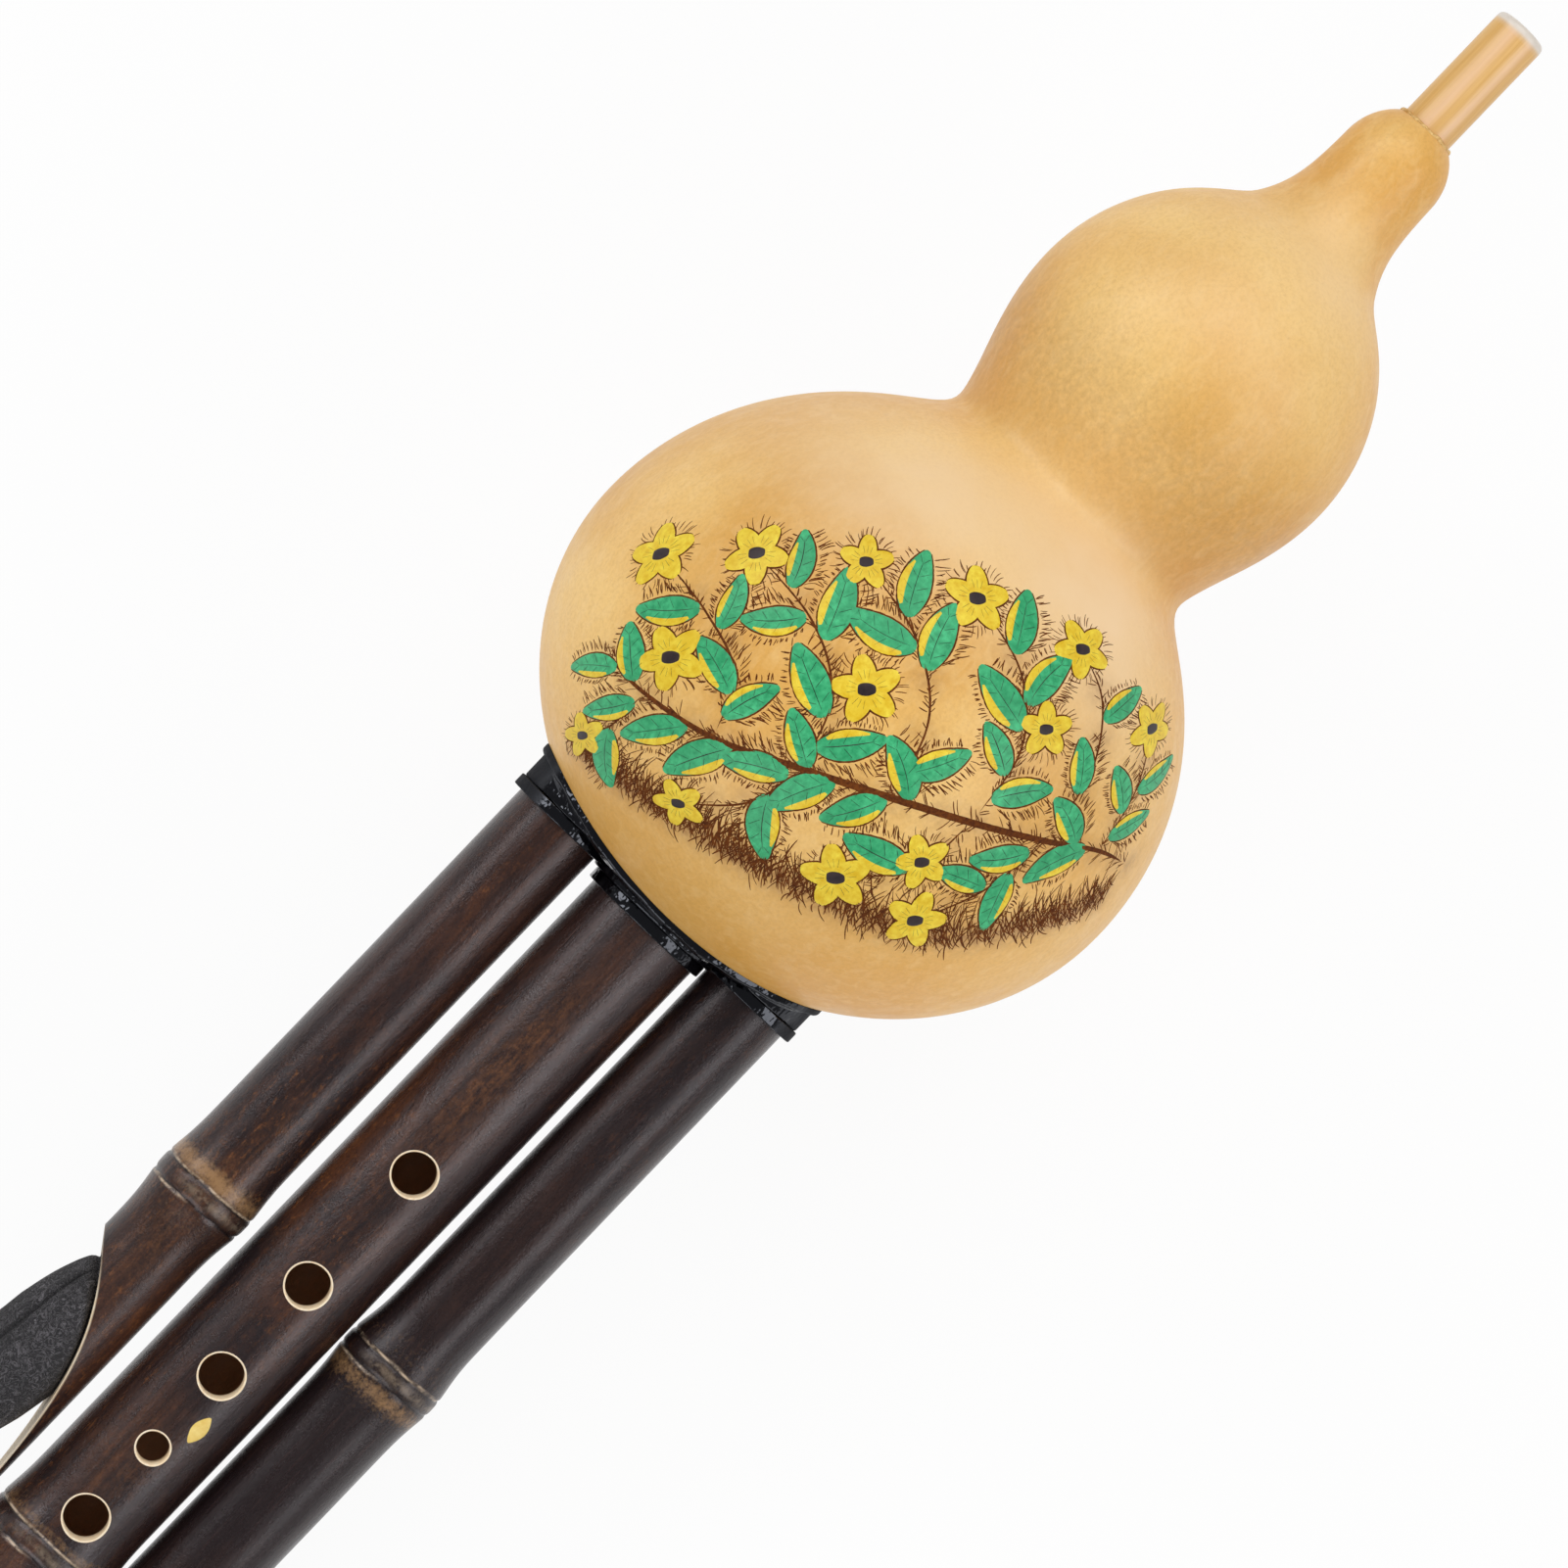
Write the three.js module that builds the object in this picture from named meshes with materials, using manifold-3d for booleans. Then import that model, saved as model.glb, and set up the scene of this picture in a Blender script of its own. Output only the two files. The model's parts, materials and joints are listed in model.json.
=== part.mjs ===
// Gourd flute with three pipes: a two-lobed gourd wind chest, a moulded oval base,
// a melody pipe with finger holes and a drone pipe on each side of it.
//
// Millimetres. The flute is built in a frame of its own: +X towards the mouthpiece,
// +Z towards the finger holes, +Y towards the left drone, and X = 0 near the rim of the base.
// Then it is laid on its back, as it rests on a table: on the gourd, on the end of the
// melody pipe and on the end of the right drone. +Z is up and the origin is under its middle.

import * as THREE from "three";
import { mergeVertices } from "three/addons/utils/BufferGeometryUtils.js";
import Module from "manifold-3d";

const wasm = await Module();
wasm.setup();

// Gaps between pieces that touch on the real flute, and cutter sizes
const fitGap = 0.3;
const overrun = 3;
const weldDistance = 0.0001;

// Gourd outline: two lobes, a waist and a neck, each with its own sizes
const bigLobeRadius = 49.9;
const bigLobeCentre = 38.5;
const bigLobeBelow = 43.4;
const bigLobeAbove = 47.8;
const lobeSpacing = 69.7;
const smallLobeRadius = 28.4;
const smallLobeBelow = 30.2;
const smallLobeAbove = 29.6;
const waistRadius = 22;
const waistReach = 25;
const waistPlaceShare = 0.675;
const neckRadius = 8.6;
const neckLength = 18.1;
const neckPlaceShare = 0.9;
const neckFlare = 10;
const neckFlareLength = 3.6;
const neckDomeLength = 9.4;
const neckLipWidth = 0.5;
const lobeBlendShare = 8;
const gourdWall = 4;
const gourdBend = 2.3;

// Mouthpiece: a slim bamboo tube let into the neck
const mouthpieceRadius = 4.35;
const mouthpieceBore = 2.6;
const mouthpieceProud = 21.6;
const mouthpieceDepth = 20;
const mouthpieceRound = 1.1;

// Base: an oval moulding that closes the gourd and carries the three pipes. Its oval follows
// from the pipes: an edge past the drones, and a ledge past the boss of the melody pipe
const baseEdge = 0.95;
const baseLedge = 2.4;
const baseFace = 2.4;
const baseHeight = 14.4;
const baseRimWidth = 0.8;
const baseRimHeight = 0.7;
const baseRimInset = 1.2;
const mainBossWall = 1.55;
const mainBossHeight = 2.4;
const collarThickness = 1.6;
const mainCollarWidth = 0.65;
const droneCollarWidth = 1.05;

// Pipes: outer radius near the base, outer radius of the tail, bore, and what fits them.
// The melody pipe and the right drone end together; pipeGap parts a drone from the melody pipe
const pipeLength = 230;
const mainPipe = {
  radius: 10.15, tailRadius: 10.3, bore: 6.5, length: pipeLength, node: 135.6,
  tenonWall: 1.8, corkWall: 0.8, nodeRise: 0.5,
};
const leftDrone = {
  radius: 7.65, tailRadius: 7.45, bore: 4.9, length: 152.4, node: 81, pipeGap: 2.15,
  tenonWall: 1.2, corkWall: 0.6, nodeRise: 0.75,
};
const rightDrone = {
  radius: 7.65, tailRadius: 8, bore: 4.9, length: pipeLength, node: 81.2, pipeGap: 1.25,
  tenonWall: 1.2, corkWall: 0.6, nodeRise: 0.8,
};
const tenonProud = 2;
const pipeEndRound = 0.5;
const nodeReach = 10;
const corkEndGap = 1;

// Bamboo joint: distance from its middle as a share of nodeReach, rise as a share of nodeRise
const nodeShares = [[-1, 0], [-0.34, 0.62], [-0.1, 1], [0, 0.45], [0.1, 1], [0.36, 0.7], [1, 0]];

// Finger holes of the melody pipe, from the base down, and the holes in its back, the last
// ones from its lower end
const fingerHoles = [
  { place: 56.7, radius: 3.45 },
  { place: 79.6, radius: 3.45 },
  { place: 98.2, radius: 3.45 },
  { place: 113, radius: 2.5 },
  { place: 127.4, radius: 3.45 },
  { place: 149, radius: 3.45 },
];
const thumbHole = { place: 40, radius: 3.2 };
const tuningVent = { fromEnd: 44, radius: 2.4 };
const cordHole = { fromEnd: 18, radius: 1.3, side: 3.6 };

// Tail of the left drone: a long curved cut that leaves a thin tongue on the inner side.
// Its start and length are shares of the drone's length, and the points of its curve are
// shares of the cut's length and of the pipe's radius
const tailCutStartShare = 0.6194;
const tailCutLengthShare = 0.2756;
const tailCutShares = [[0, 1], [0.214, 0.12], [0.357, -0.69], [1, -0.87]];
const tongueTipShare = -0.93;

// Soft mute plug of the left drone: an egg leaning out of the cut, on a stem in the bore
const leftPlugPlaceShare = 0.7546;
const leftPlugRadius = 7.5;
const leftPlugBefore = 20.6;
const leftPlugBehind = 23.5;
const leftPlugOffset = 2.5;
const leftPlugLeanShare = 0.13;
const leftPlugStem = 31;

// Soft mute plug of the right drone: a small rounded head on a stem
const rightPlugHeadRadius = 6.2;
const rightPlugHeadLength = 8;
const rightPlugStemLength = 10;

// Reeds inside the gourd: a tube in each pipe's bore, a brass plate on its flat, and a stopper
const reedTubeProud = 34;
const reedTubeDepth = 12;
const reedTubeWall = 1.6;
const reedFlatCover = 0.7;
const reedPlateThickness = 0.8;
const reedPlateLength = 26;
const reedPlateEdge = 0.35;
const reedPlateStart = 4;
const reedWindowLength = 17;
const reedWindowStart = 8;
const reedSlit = 0.3;
const reedWindowWidthShare = 0.42;
const reedTongueLengthShare = 0.86;
const stopperLength = 4;
const stopperFlange = 1.5;

// Facets round each kind of piece, and points along curves
const gourdFacets = 40;
const ovalFacets = 30;
const pipeFacets = 32;
const smallFacets = 24;
const holeFacets = 20;
const quarterSteps = 6;
const bottomSteps = 8;
const outerSteps = 22;
const innerSteps = 12;
const domeShares = [0.35, 0.6, 0.8, 1];
const edgeShares = [0, 0.3, 0.6, 1];

// Places that follow from the sizes above
const smallLobeCentre = bigLobeCentre + lobeSpacing;
const waistCentre = bigLobeCentre + lobeSpacing * waistPlaceShare;
const neckStart = smallLobeCentre + smallLobeAbove * neckPlaceShare;
const domeCentre = neckStart + neckLength;
const neckBore = mouthpieceRadius + fitGap;
const domeTopRadius = neckBore + neckLipWidth;
const domeTop = domeCentre + neckDomeLength * Math.sqrt(1 - (domeTopRadius / neckRadius) ** 2);
mainPipe.side = 0;
leftDrone.side = mainPipe.radius + leftDrone.pipeGap + leftDrone.radius;
rightDrone.side = -mainPipe.radius - rightDrone.pipeGap - rightDrone.radius;
const baseLeft = leftDrone.side + leftDrone.radius + baseEdge;
const baseRight = rightDrone.side - rightDrone.radius - baseEdge;
const baseCentre = (baseLeft + baseRight) / 2;
const baseHalfWidth = (baseLeft - baseRight) / 2;
const mainBossRadius = mainPipe.radius + fitGap + mainBossWall;
const baseHalfDepth = mainBossRadius + baseLedge;
const baseInner = baseHeight - baseFace;
const mainBossFace = -baseFace - mainBossHeight;
const tenonEnd = baseInner + tenonProud;
const tailCutStart = leftDrone.length * tailCutStartShare;
const tailCutLength = leftDrone.length * tailCutLengthShare;
const leftPlugCentre = leftDrone.length * leftPlugPlaceShare;
const pipes = [mainPipe, leftDrone, rightDrone];

for (const pipe of pipes) {
  pipe.seat = pipe === mainPipe ? mainBossFace : -baseFace;
  pipe.tenonRadius = pipe.bore + pipe.tenonWall;
  pipe.corkInner = pipe.tenonRadius + fitGap;
  pipe.corkRadius = pipe.corkInner + pipe.corkWall;
  pipe.socketRadius = pipe.corkRadius + fitGap;
  pipe.reedRadius = pipe.bore - fitGap;
}

// Turns closed geometry into a solid, and a solid back into geometry
function solidOf(geometry) {
  const bare = geometry.clone();
  bare.deleteAttribute("normal");
  bare.deleteAttribute("uv");
  const welded = mergeVertices(bare, weldDistance);
  const corners = welded.index.array;
  const triangles = [];
  for (let i = 0; i < corners.length; i += 3) {
    const [a, b, c] = corners.slice(i, i + 3);
    if (a !== b && b !== c && c !== a) triangles.push(a, b, c);
  }
  return new wasm.Manifold(new wasm.Mesh({
    numProp: 3,
    vertProperties: new Float32Array(welded.attributes.position.array),
    triVerts: new Uint32Array(triangles),
  }));
}

function geometryOf(solid) {
  const mesh = solid.getMesh();
  const geometry = new THREE.BufferGeometry();
  geometry.setAttribute("position", new THREE.BufferAttribute(new Float32Array(mesh.vertProperties), 3));
  geometry.setIndex(new THREE.BufferAttribute(new Uint32Array(mesh.triVerts), 1));
  geometry.computeVertexNormals();
  return geometry;
}

// Solid of a profile of [place, radius] points turned round the X axis.
// The points run up the outside and back down the inside
function turned(profile, facets) {
  const points = profile.map(([place, radius]) => new THREE.Vector2(radius, place));
  return solidOf(new THREE.LatheGeometry(points, facets).rotateZ(-Math.PI / 2));
}

function rod(radius, from, to, facets) {
  return turned([[from, 0], [from, radius], [to, radius], [to, 0]], facets);
}

function sleeve(inner, outer, from, to, facets) {
  return turned([[from, inner], [from, outer], [to, outer], [to, inner], [from, inner]], facets);
}

// Solid of an oval across the axis, drawn out along it
function ovalPrism(halfWidth, halfDepth, from, to) {
  const oval = new THREE.Shape().absellipse(baseCentre, 0, halfWidth, halfDepth, 0, Math.PI * 2);
  const geometry = new THREE.ExtrudeGeometry(oval, {
    depth: to - from, bevelEnabled: false, curveSegments: ovalFacets,
  });
  const alongX = new THREE.Matrix4().makeBasis(
    new THREE.Vector3(0, 1, 0), new THREE.Vector3(0, 0, 1), new THREE.Vector3(1, 0, 0),
  );
  return solidOf(geometry.applyMatrix4(alongX).translate(from, 0, 0));
}

// Upright round cutter at a place on a pipe, from one height to another
function drill(place, side, radius, low, high) {
  const geometry = new THREE.CylinderGeometry(radius, radius, high - low, holeFacets);
  return solidOf(geometry.rotateX(Math.PI / 2).translate(-place, side, (low + high) / 2));
}

// Outline of the gourd: the smooth greater of two half-ellipse lobes, the waist and the
// flared neck. grow moves the whole outline out, or in where it is negative
function gourdRadius(place, grow, throat) {
  const lobe = (centre, below, above, radius) => {
    const share = (place - centre) / ((place < centre ? below : above) + grow);
    return Math.abs(share) < 1 ? (radius + grow) * Math.sqrt(1 - share * share) : 0;
  };
  const flare = neckFlare / (1 + Math.exp((place - neckStart) / neckFlareLength));
  const stretches = [
    lobe(bigLobeCentre, bigLobeBelow, bigLobeAbove, bigLobeRadius),
    lobe(smallLobeCentre, smallLobeBelow, smallLobeAbove, smallLobeRadius),
    lobe(waistCentre, waistReach, waistReach, waistRadius),
    place > bigLobeCentre ? throat + flare : 0,
  ];
  const sum = stretches.reduce((total, radius) => total + radius ** lobeBlendShare, 0);
  return sum ** (1 / lobeBlendShare);
}

// Places to sample the outline: even angles on the lower half of the big lobe, then even steps
function gourdPlaces(grow, steps) {
  const below = bigLobeBelow + grow;
  const quarter = Array.from({ length: bottomSteps }, (_, i) => {
    return bigLobeCentre - below * Math.cos((i / bottomSteps) * (Math.PI / 2));
  });
  const rest = Array.from({ length: steps + 1 }, (_, i) => {
    return bigLobeCentre + ((domeCentre - bigLobeCentre) * i) / steps;
  });
  return [...quarter, ...rest];
}

// The small lobe stands a little to the right of the big one
function bent(geometry) {
  const positions = geometry.attributes.position;
  for (let i = 0; i < positions.count; i += 1) {
    const share = THREE.MathUtils.clamp(positions.getX(i) / smallLobeCentre, 0, 1);
    positions.setY(i, positions.getY(i) - gourdBend * share * share * (3 - 2 * share));
  }
  return geometry;
}

function turnedGourd(profile) {
  const points = profile.map(([place, radius]) => new THREE.Vector2(radius, place));
  return solidOf(bent(new THREE.LatheGeometry(points, gourdFacets).rotateZ(-Math.PI / 2)));
}

// Outside of the gourd from its bottom pole to the top of its neck
function gourdOutside(grow) {
  const lobes = gourdPlaces(grow, outerSteps).map((place) => [place, gourdRadius(place, grow, neckRadius)]);
  const reach = (domeTop - domeCentre) / neckDomeLength;
  const dome = domeShares.map((share) => {
    const along = reach * share;
    return [domeCentre + neckDomeLength * along, neckRadius * Math.sqrt(1 - along * along)];
  });
  return [...lobes, ...dome];
}

function gourdShell() {
  const inside = gourdPlaces(-gourdWall, innerSteps).map((place) => {
    return [place, gourdRadius(place, -gourdWall, neckBore)];
  });
  const profile = [...gourdOutside(0), [domeTop, neckBore], ...inside.reverse()];
  const opening = ovalPrism(baseHalfWidth + fitGap, baseHalfDepth + fitGap, -bigLobeCentre, baseInner);
  return turnedGourd(profile).subtract(opening);
}

// Outside of the gourd as one full body, for shaping the rim that hugs it
function gourdBody(grow) {
  const outside = gourdOutside(grow);
  return turnedGourd([...outside, [outside.at(-1)[0], 0]]);
}

function mouthpieceTube() {
  const from = domeTop - mouthpieceDepth;
  const tip = domeTop + mouthpieceProud;
  const edge = edgeShares.map((share) => {
    const angle = (share * Math.PI) / 2;
    return [
      tip - mouthpieceRound * (1 - Math.sin(angle)),
      mouthpieceRadius - mouthpieceRound * (1 - Math.cos(angle)),
    ];
  });
  const outside = [[from, mouthpieceBore], [from, mouthpieceRadius], ...edge];
  return turned([...outside, [tip, mouthpieceBore], [from, mouthpieceBore]], smallFacets);
}

// Base: oval plug, a thin rim that follows the gourd, a boss for the melody pipe, and sockets
function baseMoulding() {
  const far = mainBossFace - overrun;
  const plug = ovalPrism(baseHalfWidth, baseHalfDepth, -baseFace, baseInner);
  const rimOutside = ovalPrism(baseHalfWidth + baseRimWidth, baseHalfDepth + baseRimWidth, far, baseInner);
  const rimInside = ovalPrism(baseHalfWidth - baseRimInset, baseHalfDepth - baseRimInset, far, baseInner);
  const rim = rimOutside.subtract(rimInside)
    .intersect(gourdBody(fitGap + baseRimHeight))
    .subtract(gourdBody(fitGap));
  const innerRim = rimOutside
    .intersect(ovalPrism(baseHalfWidth, baseHalfDepth, far, 0))
    .subtract(rimInside)
    .intersect(gourdBody(fitGap + baseRimHeight));
  const boss = rod(mainBossRadius, mainBossFace, 0, pipeFacets);
  let moulding = plug.add(rim).add(innerRim).add(boss);
  for (const pipe of pipes) {
    const socket = rod(pipe.socketRadius, far, baseInner + overrun, pipeFacets);
    moulding = moulding.subtract(socket.translate([0, pipe.side, 0]));
    const seat = rod(pipe.radius + fitGap, far, pipe.seat, pipeFacets);
    moulding = moulding.subtract(seat.translate([0, pipe.side, 0]));
  }
  return moulding;
}

// Collar round the place where a pipe enters the base
function collar(pipe, width) {
  const top = pipe.seat - fitGap;
  const inner = pipe.radius + fitGap;
  const ring = sleeve(inner, inner + width, top - collarThickness, top, pipeFacets);
  if (pipe === mainPipe) return ring;
  const clear = rod(mainBossRadius + fitGap, mainBossFace - fitGap, baseInner, pipeFacets);
  return ring.subtract(clear.translate([0, -pipe.side, 0]));
}

// Bamboo pipe with one joint, a shoulder that stops at the base and a tenon in the socket
function pipeBlank(pipe, end) {
  const joint = nodeShares.map(([placeShare, riseShare]) => {
    const body = THREE.MathUtils.lerp(pipe.tailRadius, pipe.radius, (placeShare + 1) / 2);
    return [-pipe.node + placeShare * nodeReach, body + riseShare * pipe.nodeRise];
  });
  return turned([
    [end, pipe.bore],
    [end, pipe.tailRadius - pipeEndRound],
    [end + pipeEndRound, pipe.tailRadius],
    ...joint,
    [pipe.seat - fitGap, pipe.radius],
    [pipe.seat - fitGap, pipe.tenonRadius],
    [tenonEnd, pipe.tenonRadius],
    [tenonEnd, pipe.bore],
    [end, pipe.bore],
  ], pipeFacets);
}

function melodyPipe() {
  const out = mainPipe.tailRadius + overrun;
  let pipe = pipeBlank(mainPipe, -mainPipe.length);
  for (const { place, radius } of fingerHoles) pipe = pipe.subtract(drill(place, 0, radius, 0, out));
  pipe = pipe.subtract(drill(thumbHole.place, 0, thumbHole.radius, -out, 0));
  pipe = pipe.subtract(drill(pipeLength - tuningVent.fromEnd, 0, tuningVent.radius, -out, 0));
  for (const side of [-cordHole.side, cordHole.side]) {
    pipe = pipe.subtract(drill(pipeLength - cordHole.fromEnd, side, cordHole.radius, -out, 0));
  }
  return pipe;
}

// What the curved cut takes off the left drone, moved off the cut face by a gap
function tailCutter(gap) {
  const radius = leftDrone.tailRadius;
  const far = -leftDrone.length - 2 * overrun;
  const out = radius + overrun + leftPlugRadius;
  const [start, firstPull, secondPull, end] = tailCutShares.map(([alongShare, acrossShare]) => {
    return [-tailCutStart - tailCutLength * alongShare - gap, radius * acrossShare + gap];
  });
  const middle = (end[0] - leftDrone.length) / 2;
  const outline = new THREE.Shape();
  outline.moveTo(start[0] + out, out + start[1]);
  outline.lineTo(start[0], start[1]);
  outline.bezierCurveTo(...firstPull, ...secondPull, ...end);
  outline.quadraticCurveTo(middle, radius * tongueTipShare + gap, -leftDrone.length - gap, gap - radius);
  outline.lineTo(far, -radius - overrun);
  outline.lineTo(far, out + start[1]);
  const geometry = new THREE.ExtrudeGeometry(outline, {
    depth: 2 * out, bevelEnabled: false, curveSegments: 2 * quarterSteps,
  });
  return solidOf(geometry.translate(0, 0, -out));
}

function curvedDrone() {
  return pipeBlank(leftDrone, -leftDrone.length - overrun).subtract(tailCutter(0));
}

function leftPlug() {
  const stemRadius = leftDrone.bore - fitGap;
  const egg = [];
  for (let i = 0; i <= 2 * quarterSteps; i += 1) {
    const angle = (Math.PI * i) / (2 * quarterSteps);
    const reach = angle < Math.PI / 2 ? leftPlugBehind : leftPlugBefore;
    egg.push([-reach * Math.cos(angle), leftPlugRadius * Math.sin(angle)]);
  }
  egg[0][1] = 0;
  egg[egg.length - 1][1] = 0;
  const points = egg.map(([place, radius]) => new THREE.Vector2(radius, place));
  const head = new THREE.LatheGeometry(points, smallFacets).rotateZ(-Math.PI / 2);
  head.rotateZ(-Math.atan(leftPlugLeanShare)).translate(-leftPlugCentre, leftPlugOffset, 0);
  const stem = rod(stemRadius, -leftPlugCentre, leftPlugStem - leftPlugCentre, pipeFacets);
  const room = tailCutter(fitGap).add(rod(stemRadius, -leftDrone.length, 0, pipeFacets));
  return solidOf(head).add(stem).intersect(room);
}

function rightPlug() {
  const stemRadius = rightDrone.bore - fitGap;
  const end = -rightDrone.length;
  const head = [];
  for (let i = 0; i <= quarterSteps; i += 1) {
    const angle = (Math.PI / 2) * (i / quarterSteps);
    head.push([
      end - fitGap - rightPlugHeadLength * Math.cos(angle),
      rightPlugHeadRadius * Math.sin(angle),
    ]);
  }
  head[0][1] = 0;
  return turned([
    ...head,
    [end - fitGap, stemRadius],
    [end + rightPlugStemLength, stemRadius],
    [end + rightPlugStemLength, 0],
  ], smallFacets);
}

function tenonCork(pipe) {
  return sleeve(pipe.corkInner, pipe.corkRadius, pipe.seat + corkEndGap, baseInner - corkEndGap, pipeFacets);
}

// Reed tube: round in the pipe, planed flat outside it, with a window under the reed
function reedFlat(pipe) {
  return pipe.reedRadius - reedTubeWall + reedFlatCover;
}

function reedTube(pipe) {
  const end = tenonEnd + reedTubeProud;
  const bore = pipe.reedRadius - reedTubeWall;
  const width = 2 * (pipe.reedRadius + overrun);
  const tube = sleeve(bore, pipe.reedRadius, tenonEnd - reedTubeDepth, end, smallFacets);
  const planedLength = end - tenonEnd + overrun;
  const planed = new THREE.BoxGeometry(planedLength, width, width);
  planed.translate(tenonEnd + fitGap + planedLength / 2, 0, reedFlat(pipe) + width / 2);
  const window = new THREE.BoxGeometry(reedWindowLength, bore * reedWindowWidthShare * 2, width);
  window.translate(tenonEnd + reedWindowStart + reedWindowLength / 2, 0, width / 2);
  return tube.subtract(solidOf(planed)).subtract(solidOf(window));
}

// Brass plate with a long pointed tongue, free along a thin slit
function reedPlate(pipe) {
  const start = tenonEnd + reedPlateStart;
  const flat = reedFlat(pipe);
  const halfWidth = Math.sqrt(pipe.reedRadius ** 2 - flat ** 2) - reedPlateEdge;
  const root = tenonEnd + reedWindowStart + reedWindowLength;
  const tip = root - reedWindowLength * reedTongueLengthShare;
  const half = (pipe.reedRadius - reedTubeWall) * reedWindowWidthShare - reedSlit;
  const plate = new THREE.Shape();
  plate.moveTo(start, -halfWidth);
  plate.lineTo(start + reedPlateLength, -halfWidth);
  plate.lineTo(start + reedPlateLength, halfWidth);
  plate.lineTo(start, halfWidth);
  const slit = new THREE.Path();
  slit.moveTo(root, half + reedSlit);
  slit.lineTo(tip - reedSlit, reedSlit);
  slit.lineTo(tip - reedSlit, -reedSlit);
  slit.lineTo(root, -half - reedSlit);
  slit.lineTo(root, -half);
  slit.lineTo(tip, 0);
  slit.lineTo(root, half);
  plate.holes.push(slit);
  const geometry = new THREE.ExtrudeGeometry(plate, { depth: reedPlateThickness, bevelEnabled: false });
  return solidOf(geometry.translate(0, 0, flat + fitGap));
}

function reedStopper(pipe) {
  const end = tenonEnd + reedTubeProud;
  const stem = pipe.reedRadius - reedTubeWall - fitGap;
  return turned([
    [end - stopperLength, 0],
    [end - stopperLength, stem],
    [end + fitGap, stem],
    [end + fitGap, pipe.reedRadius - reedTubeWall + reedFlatCover],
    [end + fitGap + stopperFlange, pipe.reedRadius - reedTubeWall + reedFlatCover],
    [end + fitGap + stopperFlange, 0],
  ], smallFacets);
}

// Colours and finishes
const finishes = {
  gourd: { color: 0xd8ac69, roughness: 0.42, metalness: 0 },
  mouthpiece: { color: 0xe6c08a, roughness: 0.5, metalness: 0 },
  plastic: { color: 0x191a1e, roughness: 0.22, metalness: 0 },
  bamboo: { color: 0x33262a, roughness: 0.38, metalness: 0 },
  cork: { color: 0xb98a57, roughness: 0.9, metalness: 0 },
  reedBamboo: { color: 0xd9b679, roughness: 0.6, metalness: 0 },
  brass: { color: 0xc79a45, roughness: 0.35, metalness: 1 },
  foam: { color: 0x424244, roughness: 0.95, metalness: 0 },
};

function piece(name, solid, finish, side = 0) {
  const material = new THREE.MeshStandardMaterial({ ...finishes[finish], flatShading: true });
  const mesh = new THREE.Mesh(geometryOf(solid), material);
  mesh.name = name;
  mesh.position.y = side;
  return mesh;
}

// The reed end of a pipe: the cork on its tenon, and the reed in its bore
function pipeFittings(name, pipe) {
  return [
    piece(`${name}_tenon_cork`, tenonCork(pipe), "cork", pipe.side),
    piece(`${name}_reed_tube`, reedTube(pipe), "reedBamboo", pipe.side),
    piece(`${name}_reed_plate`, reedPlate(pipe), "brass", pipe.side),
    piece(`${name}_reed_stopper`, reedStopper(pipe), "cork", pipe.side),
  ];
}

const windChest = new THREE.Group();
windChest.add(
  piece("gourd_shell", gourdShell(), "gourd"),
  piece("mouthpiece_tube", mouthpieceTube(), "mouthpiece", -gourdBend),
  piece("base_socket", baseMoulding(), "plastic"),
  piece("main_collar", collar(mainPipe, mainCollarWidth), "plastic", mainPipe.side),
  piece("left_collar", collar(leftDrone, droneCollarWidth), "plastic", leftDrone.side),
  piece("right_collar", collar(rightDrone, droneCollarWidth), "plastic", rightDrone.side),
);

const melody = new THREE.Group();
melody.add(piece("main_pipe", melodyPipe(), "bamboo", mainPipe.side), ...pipeFittings("main", mainPipe));

const left = new THREE.Group();
left.add(
  piece("left_drone", curvedDrone(), "bamboo", leftDrone.side),
  piece("left_mute_plug", leftPlug(), "foam", leftDrone.side),
  ...pipeFittings("left", leftDrone),
);

const right = new THREE.Group();
right.add(
  piece("right_drone", pipeBlank(rightDrone, -rightDrone.length), "bamboo", rightDrone.side),
  piece("right_mute_plug", rightPlug(), "foam", rightDrone.side),
  ...pipeFittings("right", rightDrone),
);

// Laid on its back: first rolled onto the right drone, then leaned until the melody pipe's
// end comes down to the table
const restRoll = Math.asin((mainPipe.tailRadius - rightDrone.tailRadius) / -rightDrone.side);
const restLean = Math.asin((bigLobeRadius - mainPipe.tailRadius) / (bigLobeCentre + mainPipe.length));
const flute = new THREE.Group();
flute.add(windChest, melody, left, right);
flute.rotation.set(restRoll, -restLean, 0, "YXZ");

const part = new THREE.Group();
part.add(flute);
part.updateMatrixWorld(true);
const box = new THREE.Box3().setFromObject(part, true);
const middle = box.getCenter(new THREE.Vector3());
flute.position.set(-middle.x, -middle.y, -box.min.z);

export default part;
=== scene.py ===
import json
import math
import bmesh
import bpy
import numpy as np
from mathutils import Matrix, Vector
from mathutils.geometry import delaunay_2d_cdt


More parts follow.
